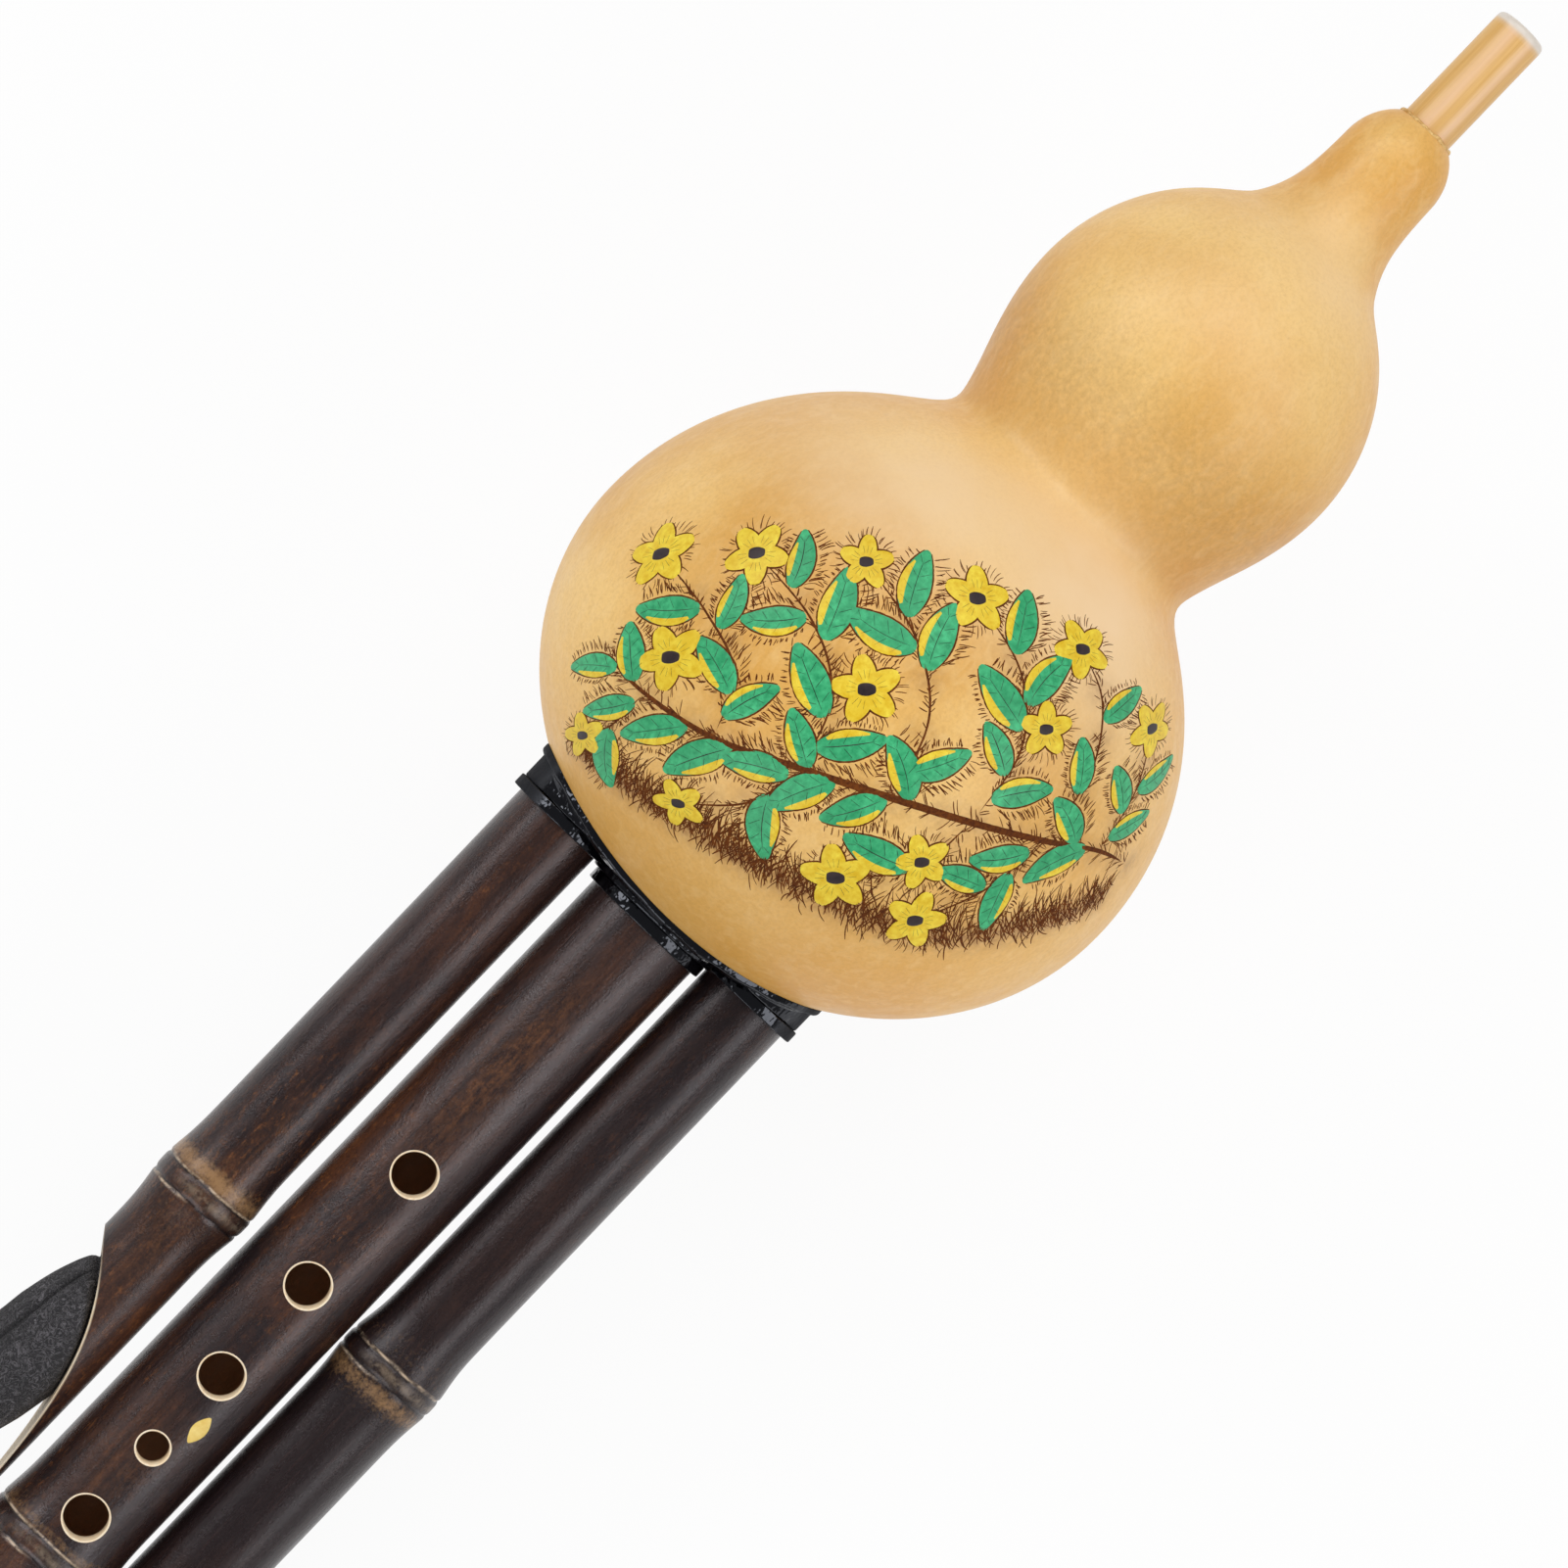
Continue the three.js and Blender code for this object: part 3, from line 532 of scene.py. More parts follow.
def gourdPoints(place, angle, lift=0.0):
    # ring radius less slow dents, moved along the outline's normal by lift, and bent aside by
    # the smooth step of the place; the slant is the outline's length over its rise
    place, angle = np.broadcast_arrays(np.asarray(place, float), angle)
    step = 0.05
    slope = (gourdRadius(place + step) - gourdRadius(place - step)) / (2 * step)
    slope = np.clip(slope, -gourd["steepest"], gourd["steepest"])
    slant = np.sqrt(1 + slope * slope)
    dents = (np.sin(2 * angle + place / 23) + np.sin(3 * angle - place / 17 + 2)
             + np.sin(5 * angle + place / 11 + 1)) / 3
    radius = gourdRadius(place)
    dip = gourd["inset"] + gourd["dents"] * (1 + dents) * 0.5
    radius = radius - dip * (radius / gourd["bigRadius"]) ** 1.5
    radius = radius + lift / slant
    bend = gourd["bend"] * smoothStep(place, 0, gourd["smallCentre"])
    return ringPoints(place - lift * slope / slant, radius, angle, -bend)


def ovalReach(angle, grow):
    # distance from the axis to the oval's edge along an angle, from the quadratic of the ellipse
    a, b = oval["halfWidth"] + grow, oval["halfDepth"] + grow
    one = (np.cos(angle) / a) ** 2 + (np.sin(angle) / b) ** 2
    two = -2 * oval["centre"] * np.cos(angle) / a ** 2
    three = (oval["centre"] / a) ** 2 - 1
    return (-two + np.sqrt(two * two - 4 * one * three)) / (2 * one)


# picture plane of the painted branch: the photograph's right and up, on the gourd's front
picture = {"turn": math.radians(46.2), "arcs": np.linspace(-4.8, 80, 4000)}
arcRadius = gourdRadius(picture["arcs"])
arcLength = np.concatenate([[0], np.cumsum(np.hypot(np.diff(picture["arcs"]), np.diff(arcRadius)))])
arcLength -= np.interp(gourd["bigCentre"], picture["arcs"], arcLength)


def picturePoints(right, up, lift=0.0):
    # turned into distance along the outline and round the gourd, then onto its surface
    c, s = math.cos(picture["turn"]), math.sin(picture["turn"])
    onward, aside = right * c + up * s, up * c - right * s
    place = np.interp(onward, arcLength, picture["arcs"])
    angle = np.pi / 2 - aside / gourdRadius(place)
    return gourdPoints(place, angle, lift)


def pictureOf(place, angle):
    # the other way: picture right and up of points of the front of the gourd
    c, s = math.cos(picture["turn"]), math.sin(picture["turn"])
    onward = np.interp(place, picture["arcs"], arcLength)
    aside = (np.pi / 2 - angle) * gourdRadius(place)
    return onward * c - aside * s, onward * s + aside * c


branch = {
    "stem": [(45, -27), (36, -21), (25, -17), (13, -13), (1, -9), (-12, -5), (-25, -1), (-36, 6), (-45, 15)],
    "sprays": [
        [(36, -21), (42, -12), (45, -1)],
        [(25, -17), (32, -7), (34, 5), (31, 14)],
        [(13, -13), (20, -2), (20, 10), (14, 21)],
        [(1, -9), (6, 3), (4, 15), (-3, 26)],
        [(-12, -5), (-8, 6), (-11, 17), (-20, 28)],
        [(-25, -1), (-22, 9), (-27, 19), (-36, 30)],
        [(-36, 6), (-42, 0), (-48, -2)],
        [(-12, -5), (-20, -11), (-31, -13)],
        [(13, -13), (5, -20), (-7, -22)],
        [(25, -17), (17, -24), (6, -29)],
    ],
    "leafLength": 12.0, "leafWidth": 3.0, "leafGap": 4.2, "apart": 6.4, "blossomReach": 5.6, "petals": 5,
    "rays": 44, "moreBlossoms": [(24, 1), (-3, 7), (-32, 12), (6, -19)],
    "bank": [(-50, -5), (-40, -13), (-26, -20), (-10, -27), (8, -33), (26, -34), (42, -33)],
}


def smoothLine(points, count):
    # Catmull-Rom curve through the points, as whole arrays
    p = np.asarray(points, float)
    p = np.vstack([2 * p[0] - p[1], p, 2 * p[-1] - p[-2]])
    t = np.linspace(0, len(p) - 3 - 1e-6, count)
    k = t.astype(int)
    f = (t - k)[:, None]
    a, b, c, d = p[k], p[k + 1], p[k + 2], p[k + 3]
    return 0.5 * (2 * b + (c - a) * f + (2 * a - 5 * b + 4 * c - d) * f ** 2
                  + (3 * b - a - 3 * c + d) * f ** 3)


def pillows(lines, halfWidth, lift, across=5, sink=0.05):
    # flat strokes on the gourd: lines is (n, m, 2), halfWidth (n, m). Each section runs over the
    # top with height lift sqrt(1 - u^4), dips under the skin at its edges, and closes below it
    lines, halfWidth = np.asarray(lines, float), np.asarray(halfWidth, float)
    n, m = halfWidth.shape
    tangent = np.gradient(lines, axis=1)
    tangent /= np.linalg.norm(tangent, axis=2, keepdims=True) + 1e-9
    normal = np.stack([-tangent[..., 1], tangent[..., 0]], -1)
    s = np.linspace(-1, 1, m)[None, :, None]
    ends = 1 - s ** 8
    u = np.append(np.linspace(-1, 1, across), 0)[None, None, :]
    height = -sink + (lift + sink) * np.sqrt(np.clip(1 - u ** 4, 0, None)) * ends
    height[..., -1] = (-sink - 0.5 * sink * ends)[..., 0]
    spot = lines[:, :, None, :] + normal[:, :, None, :] * (u * halfWidth[:, :, None])[..., None]
    points = picturePoints(spot[..., 0], spot[..., 1], height)
    block = gridFaces(m, across + 1)
    faces = (block[None] + (np.arange(n) * m * (across + 1))[:, None, None]).reshape(-1, 4)
    return points.reshape(-1, 3), faces


def joined(parts):
    # several (points, faces) put one after another
    starts = np.cumsum([0] + [len(points) for points, _ in parts[:-1]])
    return (np.concatenate([points for points, _ in parts]),
            [np.concatenate([faces + start for (_, faces), start in zip(parts, starts)])])


leafSteps = 17


def leafLines(base, heading, length, sway):
    # a leaf's middle line from its base along its heading, bowed aside by sway s (1 - s) lengths
    s = np.linspace(0, 1, leafSteps)[None, :, None]
    onward = np.stack([np.cos(heading), np.sin(heading)], -1)[:, None]
    aside = np.stack([-np.sin(heading), np.cos(heading)], -1)[:, None]
    reach = np.asarray(length, float)[:, None, None]
    bow = np.asarray(sway, float)[:, None, None]
    return base[:, None] + onward * s * reach + aside * bow * reach * s * (1 - s)


def leafWidths(width, fullness=0.75, count=leafSteps):
    # half width along a leaf: sine to a power, fullest before the middle
    s = np.linspace(0, 1, count)[None, :] ** 0.85
    return np.asarray(width, float)[:, None] * np.clip(np.sin(np.pi * s), 0, 1) ** fullness


draw = np.random.default_rng(21)
stemLine = smoothLine(branch["stem"], 100)
sprayLines = [smoothLine(spray, 50) for spray in branch["sprays"]]
bankLine = smoothLine(branch["bank"], 120)

blossomAt = np.array([line[-1] for line in sprayLines] + branch["moreBlossoms"], float)
blossomSize = branch["blossomReach"] * draw.uniform(0.78, 1.05, len(blossomAt))
petalAngles = np.arange(branch["petals"]) * 2 * np.pi / branch["petals"]
petalTurn = petalAngles[None, :] + draw.uniform(0, 1, len(blossomAt))[:, None]
petalBase = np.repeat(blossomAt, branch["petals"], 0)
petalSize = np.repeat(blossomSize, branch["petals"])
petalMiddle = leafLines(petalBase, petalTurn.ravel(), petalSize, np.zeros(len(petalBase)))
petalHalf = leafWidths(petalSize * 0.4, 0.5)

# leaves grow from the lines by turns to either side, where there is room for them
bases, headings, lengths, taken = [], [], [], [*blossomAt]
for line in [*sprayLines, stemLine]:
    reachOfLine = np.linalg.norm(np.diff(line, axis=0), axis=1).sum()
    for order, share in enumerate(np.linspace(0.12, 0.94, int(reachOfLine / branch["leafGap"]))):
        spot = int(share * (len(line) - 1))
        ahead = line[min(spot + 1, len(line) - 1)] - line[spot - 1]
        heading = math.atan2(ahead[1], ahead[0]) + (1 if order % 2 else -1) * draw.uniform(0.6, 1.0)
        length = branch["leafLength"] * draw.uniform(0.8, 1.1)
        middle = line[spot] + 0.55 * length * np.array([math.cos(heading), math.sin(heading)])
        if min(np.linalg.norm(middle - other) for other in taken) < branch["apart"]:
            continue
        taken.append(middle)
        bases.append(line[spot])
        headings.append(heading)
        lengths.append(length)
bases, headings, lengths = map(np.array, (bases, headings, lengths))
leafMiddle = leafLines(bases, headings, lengths, draw.uniform(-0.35, 0.35, len(bases)))
leafHalf = leafWidths(branch["leafWidth"] * lengths / branch["leafLength"], 0.8)

# gourd shell: the outside from the oval opening up to the lip, then the inside back down
angles = fullTurn(gourd["columns"])[None, :]
edgeReach = ovalReach(angles, oval["gap"])
riseOut = np.arcsin(edgeReach / gourd["bigRadius"])
share = np.linspace(0, 1, gourd["rowsBelow"])[:, None]
lowerOut = gourd["bigCentre"] - gourd["bigBelow"] * np.cos(riseOut + (np.pi / 2 - riseOut) * share)
domeTurn = np.linspace(0, math.asin(reachShare), gourd["domeRows"])[1:]
upperOut = np.concatenate([
    np.linspace(gourd["bigCentre"], gourd["domeCentre"], gourd["rowsAbove"])[1:],
    gourd["domeCentre"] + gourd["domeLength"] * np.sin(domeTurn)])[:, None] + 0 * angles
outerPlace = np.concatenate([lowerOut, upperOut])
outer = gourdPoints(outerPlace, angles)
lipPath = np.array([[0.06, 0.32], [0.05, 0.16], [-0.06, 0.03], [-0.3, 0.0]])
lipRadius = gourd["neckBore"] + lipPath[:, 1:]
lip = ringPoints(gourd["top"] + lipPath[:, :1], lipRadius, angles, -gourd["bend"])
upperIn = np.linspace(gourd["top"] - 1, gourd["bigCentre"], gourd["innerRowsAbove"])[:, None] + 0 * angles
riseIn = np.arcsin(edgeReach / (gourd["bigRadius"] - gourd["wall"]))
share = np.linspace(1, 0, gourd["innerRowsBelow"])[1:, None]
innerBelow = gourd["bigBelow"] - gourd["wall"]
lowerIn = gourd["bigCentre"] - innerBelow * np.cos(riseIn + (np.pi / 2 - riseIn) * share)
innerPlace = np.concatenate([upperIn, lowerIn])
innerRadius = gourdRadius(innerPlace, -gourd["wall"], gourd["neckBore"])
innerBend = gourd["bend"] * smoothStep(innerPlace, 0, gourd["smallCentre"])
inner = ringPoints(innerPlace, innerRadius, angles, -innerBend)
shell = np.concatenate([outer, lip, inner])
rows = len(shell)
right, up = pictureOf(outerPlace, angles)
onFront = np.sin(angles + 0 * outerPlace) > 0.1
scorchAndShadeShare = np.zeros(outerPlace.shape)
# scorched ground as strength, rise, spread and spots: along the branch and, darker, on the bank
scorched = [(0.4, 0.0, 7.0, np.concatenate([stemLine[::6], *[line[::12] for line in sprayLines]])),
            (0.75, 1.5, 9.0, bankLine[2:-2:3])]
for strength, rise, spread, spots in scorched:
    for spot in spots:
        away = (right - spot[0]) ** 2 + (up - spot[1] - rise) ** 2
        scorchAndShadeShare = np.maximum(scorchAndShadeShare, strength * np.exp(-away / spread))
# painted shade round the small lobe's side of the waist, added to the scorch
scorchAndShadeShare = scorchAndShadeShare * onFront + patchShare(gourd["paintedShadeWaist"], outerPlace, angles)
# ochre, in part the gourd's riper tone and in part painted shade: towards the neck, painted shade on
# the shaded side and down one flank, by the base, besides its patches
ripeToneAndShade = (0.85 * smoothStep(outerPlace, 132, 152) + patchShare(gourd["ochreAndShadePatches"], outerPlace, angles)
        + 0.55 * smoothStep(-np.cos(angles), 0.25, 1) + 0.5 * (1 - smoothStep(outerPlace, 0, 26))
        + 0.5 * smoothStep(np.sin(-angles - 0.9), 0.2, 1) * smoothStep(outerPlace, 60, 110)
        + 0.5 * smoothStep(np.abs(np.cos(angles)), 0.5, 0.95) * smoothStep(outerPlace, 132, 144))
# painted highlights and sheen on the shell, as pale patches
bloom = patchShare(gourd["paintedHighlightPatches"], outerPlace, angles)
backRows = (rows - len(outerPlace), gourd["columns"])
marks = {mark: np.concatenate([values, np.zeros(backRows)]).ravel()
         for mark, values in (("bloom", bloom), ("scorch", scorchAndShadeShare), ("ochre", np.clip(ripeToneAndShade, 0, 1)))}
marks["inner"] = np.concatenate([np.zeros(outerPlace.shape), np.ones(backRows)]).ravel()
putPiece("gourdShell", shell, [gridFaces(rows, gourd["columns"], wrapRows=True)], looks["gourd"],
         "wind_chest", "gourd", ["gourd_shell"], marks, weld=False)
print("gourd made")

# painted branch
lineWidths = {"stem": 0.75, "spray": 0.36, "hatch": 0.17, "outline": 0.3, "vein": 0.13, "blade": 0.2}
# how far each kind of line or paint stands off the gourd, in millimetres
lifts = {"outline": 0.035, "stem": 0.05, "spray": 0.045, "hatch": 0.04, "ray": 0.03, "blade": 0.045,
         "leaf": 0.07, "petal": 0.075, "moon": 0.095, "eye": 0.11, "dash": 0.1, "rib": 0.12, "vein": 0.115}


def taper(count, width, ends=0.6):
    # half width that thins towards both ends
    s = np.linspace(0, 1, count)
    return width * (0.25 + 0.75 * np.sin(np.pi * s) ** ends) * np.minimum(1, 12 * np.minimum(s, 1 - s))


def strokes(path, width):
    # one tapered half width for every stroke, a little thicker or thinner by chance
    weight = draw.uniform(0.7, 1.25, len(path))[:, None]
    return path, np.tile(taper(path.shape[1], width), (len(path), 1)) * weight


# ranges of the place along a line, the turn from it, the share of the reach and the sway
hatchRanges = ((0.02, 0.98), (0.4, 1.15), (0.4, 1.1), (-0.35, 0.35))
bladeRanges = ((0.0, 1.0), (1.0, 2.3), (0.45, 1.1), (0.1, 0.7))


def hatching(line, count, reach, lean, width, scatter=0.15, rise=0.0, ranges=hatchRanges):
    # short strokes leaving a line to one side, each with its numbers drawn from the ranges
    spots = (draw.uniform(*ranges[0], count) * (len(line) - 1)).astype(int)
    tangent = np.gradient(line, axis=0)[spots]
    heading = np.arctan2(tangent[:, 1], tangent[:, 0]) + lean * draw.uniform(*ranges[1], count)
    start = line[spots] + draw.normal(0, scatter, (count, 2)) + np.array([0, rise])
    length = reach * draw.uniform(*ranges[2], count)
    return strokes(leafLines(start, heading, length, draw.uniform(*ranges[3], count))[:, ::2], width)


def leafEdge(shares, outward, side):
    # points on a leaf's edge, or inside it when outward is under 1, on one side of its middle line
    at = (np.asarray(shares) * (leafSteps - 1)).astype(int)
    tangent = np.gradient(leafMiddle, axis=1)
    tangent /= np.linalg.norm(tangent, axis=2, keepdims=True)
    normal = np.stack([-tangent[..., 1], tangent[..., 0]], -1)
    return leafMiddle[:, at] + side * outward * leafHalf[:, at, None] * normal[:, at], normal[:, at]


def paint(name, parts, look):
    # one piece of several strokes that rides with the gourd
    putPiece(name, *joined(parts), looks[look], "wind_chest", "gourd")


def outlined(half):
    # a half width and the dark line round it, which fades out with it at the ends
    return half + lineWidths["outline"] * np.clip(half, 0, 0.5) * 2


outlineParts = [
    pillows(leafMiddle, outlined(leafHalf), lifts["outline"], 9),
    pillows(petalMiddle, outlined(petalHalf), lifts["outline"], 7),
    pillows(stemLine[None], taper(len(stemLine), lineWidths["stem"])[None], lifts["stem"], 5),
]
for line in sprayLines:
    outlineParts.append(pillows(line[None], taper(len(line), lineWidths["spray"])[None], lifts["spray"], 3))
for line, count, reach in [(stemLine, 190, 3.2), *[(line, 44, 1.9) for line in sprayLines]]:
    for lean in (1, -1):
        short = hatching(line, count // 2, reach, lean, lineWidths["hatch"])
        outlineParts.append(pillows(*short, lifts["hatch"], 3))

# shaded side of each leaf: short strokes that leave its edge
shadeParts = []
for side, least, most, lean in ((-1, 1.2, 3.1, 0.5), (1, 0.6, 1.7, -0.4)):
    for shift in (0.0, 0.04):
        edgeSpots, edgeOut = leafEdge(np.linspace(0.14, 0.88, 12) + shift, 1.02, side)
        shadeHeading = (np.arctan2(side * edgeOut[..., 1], side * edgeOut[..., 0]) + lean
                        + draw.uniform(-0.25, 0.25, edgeOut.shape[:2]))
        shade = leafLines(edgeSpots.reshape(-1, 2) + draw.normal(0, 0.12, (shadeHeading.size, 2)),
                          shadeHeading.ravel(), draw.uniform(least, most, shadeHeading.size),
                          draw.uniform(-0.4, 0.4, shadeHeading.size))[:, ::2]
        shadeParts.append(pillows(*strokes(shade, lineWidths["hatch"]), lifts["hatch"], 3))

# short burnt rays behind each blossom
rayTurn = fullTurn(branch["rays"])[None, :] + draw.uniform(-0.08, 0.08, (len(blossomAt), branch["rays"]))
rayFrom = np.stack([np.cos(rayTurn), np.sin(rayTurn)], -1) * (blossomSize * 0.72)[:, None, None]
rays = leafLines((blossomAt[:, None] + rayFrom).reshape(-1, 2), rayTurn.ravel(),
                 draw.uniform(1.4, 2.9, rayTurn.size), draw.uniform(0.1, 0.5, rayTurn.size))[:, ::2]
outlineParts.append(pillows(*strokes(rays, lineWidths["hatch"]), lifts["ray"], 3))

# grassy bank below the branch: three rows of curved blades that all lean one way
for count, reach, rise, scatter in ((420, 8.5, 0.5, 1.1), (380, 6.0, 0.0, 1.6), (260, 4.0, -0.4, 1.0)):
    blades = hatching(bankLine, count, reach, 1, lineWidths["blade"], scatter, rise, bladeRanges)
    outlineParts.append(pillows(*blades, lifts["blade"], 3))
paint("burntLines", outlineParts, "burntLine")
paint("leafShading", shadeParts, "burntLine")
paint("leafPaint", [pillows(leafMiddle, leafHalf, lifts["leaf"], 9)], "leafPaint")

# petals, and a yellow half moon along the sunny side of each leaf
moonLine = leafEdge(np.linspace(0.15, 0.85, 12), 0.62, 1)[0]
moonHalf = leafWidths(0.3 * leafHalf.max(1), 0.7, 12)
paint("petalPaint", [pillows(petalMiddle, petalHalf, lifts["petal"], 7),
                     pillows(moonLine, moonHalf, lifts["moon"], 5)], "petalPaint")

# dark eyes and petal dashes, and the leaves' veins
eyeLine = leafLines(blossomAt - np.array([[0.3, 0]]) * blossomSize[:, None],
                    np.zeros(len(blossomAt)), blossomSize * 0.6, np.zeros(len(blossomAt)))
eyes = pillows(eyeLine, leafWidths(blossomSize * 0.25, 0.5), lifts["eye"], 7)
dashTurn = petalTurn.ravel()[:, None] + np.array([[-0.3, 0, 0.3]])
dashes = leafLines(np.repeat(petalBase, 3, 0), dashTurn.ravel(), np.repeat(petalSize * 0.62, 3),
                   np.zeros(dashTurn.size))[:, 6::2]
ribs = leafMiddle[:, 1:-2]
veinStart = leafMiddle[:, [3, 6, 9, 12]]
veinParts = []
for side in (1, -1):
    veinEnd = leafEdge([0.36, 0.54, 0.72, 0.88], 0.8, side)[0]
    steps = np.linspace(0, 1, 6)[None, None, :, None]
    veins = veinStart[:, :, None] * (1 - steps) + veinEnd[:, :, None] * steps
    veinStrokes = strokes(veins.reshape(-1, 6, 2), lineWidths["vein"] * 0.8)
    veinParts.append(pillows(*veinStrokes, lifts["vein"], 3))
dashStrokes = strokes(dashes, lineWidths["vein"])
ribStrokes = strokes(ribs, lineWidths["vein"] * 1.5)
paint("blossomEyes", [eyes, pillows(*dashStrokes, lifts["dash"], 3), pillows(*ribStrokes, lifts["rib"], 3),
                      *veinParts], "inkPaint")
print("painted branch made")

# base moulding
base = {
    "face": -2.4, "back": 12.0, "rimWidth": 0.8, "rimInset": 1.2, "rimHeight": 1.0, "edgeRound": 0.35,
    "bossRadius": 12.0, "bossFace": -4.8, "seatGap": 0.3, "droneRadius": 7.65, "ripple": 0.07,
    "rimRound": 0.22, "outerRound": 0.35, "skinGap": 0.04, "columns": 176, "socketColumns": 112,
    # radius of the socket at each side
    "sockets": {0.0: 9.7, 19.95: 7.3, -19.05: 7.3},
}
farAway = 99.0


def gourdHeight(reach, grow):
    # place of the grown big lobe's underside at a distance from the axis
    below, radius = gourd["bigBelow"] + grow, gourd["bigRadius"] + grow
    return gourd["bigCentre"] - below * np.sqrt(1 - (reach / radius) ** 2)


def edgeFall(distance, size):
    # quarter round: how far a face has dropped at a distance before its edge, and far past it
    t = np.clip(1 - distance / size, 0, 1)
    return size * (1 - np.sqrt(1 - t * t)) + np.where(distance < 0, farAway, 0.0)


def rayToCircle(dot, distance, clear):
    # how far a ray runs to a circle ahead of it, dot - sqrt(dot^2 - distance^2 + clear^2), with dot
    # the centre's distance along the ray; far away where it misses
    rootTerm = dot ** 2 - (distance ** 2 - clear ** 2)
    return np.where((rootTerm > 0) & (dot > 0), dot - np.sqrt(np.clip(rootTerm, 0, None)), farAway)


# rings from the boss side out to the rim's edge, close together where a round is; the first ones
# are kept off the sockets by the inner edge
turn = fullTurn(base["columns"])[None, :]
innerEdge = -0.72 - 0.85 * np.sin(turn) ** 2
offsets = np.array([-1.6, -1.3, -1.21, -1.19, -1.15, -1.08, -0.98, -0.85, -0.6, -0.35, -0.25, -0.16, -0.08,
                    -0.03, -0.005, 0.01, 0.15, 0.35, 0.45, 0.55, 0.64, 0.71, 0.76, 0.79, 0.8])[:, None]
offsets = np.maximum(offsets, innerEdge + np.arange(len(offsets))[:, None] * 0.004)


def ovalPoints(place, offset):
    # (place, centre + (half width + offset) cos, (half depth + offset) sin)
    return np.stack(np.broadcast_arrays(
        place, oval["centre"] + (oval["halfWidth"] + offset) * np.cos(turn),
        (oval["halfDepth"] + offset) * np.sin(turn)), -1)


flat = ovalPoints(0 * offsets, offsets)
reach = np.hypot(flat[..., 1], flat[..., 2])
plugTop = base["face"] + edgeFall(-offsets, base["edgeRound"])
ripple = base["ripple"] * (np.sin(9 * turn + 1) + np.sin(23 * turn))
rimTop = (gourdHeight(reach, base["rimHeight"]) + ripple
          + edgeFall(offsets + base["rimInset"], base["rimRound"])
          + edgeFall(base["rimWidth"] + 0.001 - offsets, base["outerRound"]))
skirtTop = ovalPoints(np.minimum(plugTop, rimTop), offsets)
skirtTop[0, :, 0] = base["face"]
under = gourdHeight(np.hypot(flat[-1, :, 1], flat[-1, :, 2]), base["skinGap"])
underIn = gourdHeight(ovalReach(turn, 0)[0], base["skinGap"])
skirt = np.concatenate([
    skirtTop, ovalPoints(under[None], base["rimWidth"]), ovalPoints(underIn[None] + 0.3, 0.0),
    ovalPoints(np.array([[base["back"] - 0.4], [base["back"] - 0.1], [base["back"]]]),
               np.array([[0.0], [-0.1], [-0.4]]))])
spin = fullTurn(base["socketColumns"])[None, :]
# the boss is cut back by a circle round the right drone
seatRadius = base["droneRadius"] + base["seatGap"]
notch = rayToCircle(rest["droneSide"] * -np.cos(spin), rest["droneSide"], seatRadius)
bossReach = np.minimum(base["bossRadius"], notch)
parts = [(skirt.reshape(-1, 3), gridFaces(len(skirt), base["columns"]))]
faceLoops, backLoops = [skirt[0, :, 1:]], [skirt[-1, :, 1:]]
for side, radius in base["sockets"].items():
    if side == 0.0:
        bossRows = [(base["face"], 0.08), (base["face"] - 0.1, 0.0), (-4.45, 0.0), (-4.62, -0.04),
                    (-4.74, -0.14), (base["bossFace"], -0.34)]
        path = [(place, bossReach + out) for place, out in bossRows]
        path += [(base["bossFace"], 10.0 + 0 * spin), (-4.7, 9.78 + 0 * spin), (-4.4, radius + 0 * spin)]
    else:
        path = [(base["face"], radius + 0.22 + 0 * spin), (-2.32, radius + 0.07 + 0 * spin),
                (-2.1, radius + 0 * spin)]
    # each socket ends in a small bevel at the back
    path += [(base["back"] - 0.3, radius + 0 * spin), (base["back"], radius + 0.2 + 0 * spin)]
    ring = np.stack([ringPoints(place, reach, spin, side)[0] for place, reach in path])
    parts.append((ring.reshape(-1, 3), gridFaces(len(ring), base["socketColumns"], flip=True)))
    faceLoops.append(ring[0, :, 1:])
    backLoops.append(ring[-1, :, 1:])


def flatFace(loops, place, flip):
    # flat face inside the first loop and outside the others, cut into triangles
    spots = np.concatenate(loops)
    starts = np.cumsum([0] + [len(loop) for loop in loops[:-1]])
    edges = np.concatenate([
        np.stack([np.arange(len(loop)), (np.arange(len(loop)) + 1) % len(loop)], -1) + start
        for loop, start in zip(loops, starts)])
    found, _, triangles, _, _, _ = delaunay_2d_cdt(
        [Vector(spot) for spot in spots.tolist()], edges.tolist(), [], 0, 1e-7)
    flatSpots = np.array([tuple(spot) for spot in found])
    triangles = np.array(triangles)
    middle = flatSpots[triangles].mean(1)
    keep = np.ones(len(triangles), bool)
    for loop in loops[1:]:
        hub = loop.mean(0)
        bearing = np.arctan2(*(middle - hub).T[::-1])
        loopBearing = np.arctan2(*(loop - hub).T[::-1])
        order = np.argsort(loopBearing)
        limit = np.interp(bearing, loopBearing[order], np.linalg.norm(loop - hub, axis=1)[order],
                          period=2 * np.pi)
        keep &= np.linalg.norm(middle - hub, axis=1) > limit
    triangles = triangles[keep]
    points = np.concatenate([np.full((len(flatSpots), 1), place), flatSpots], 1)
    return points, triangles[:, ::-1] if flip else triangles


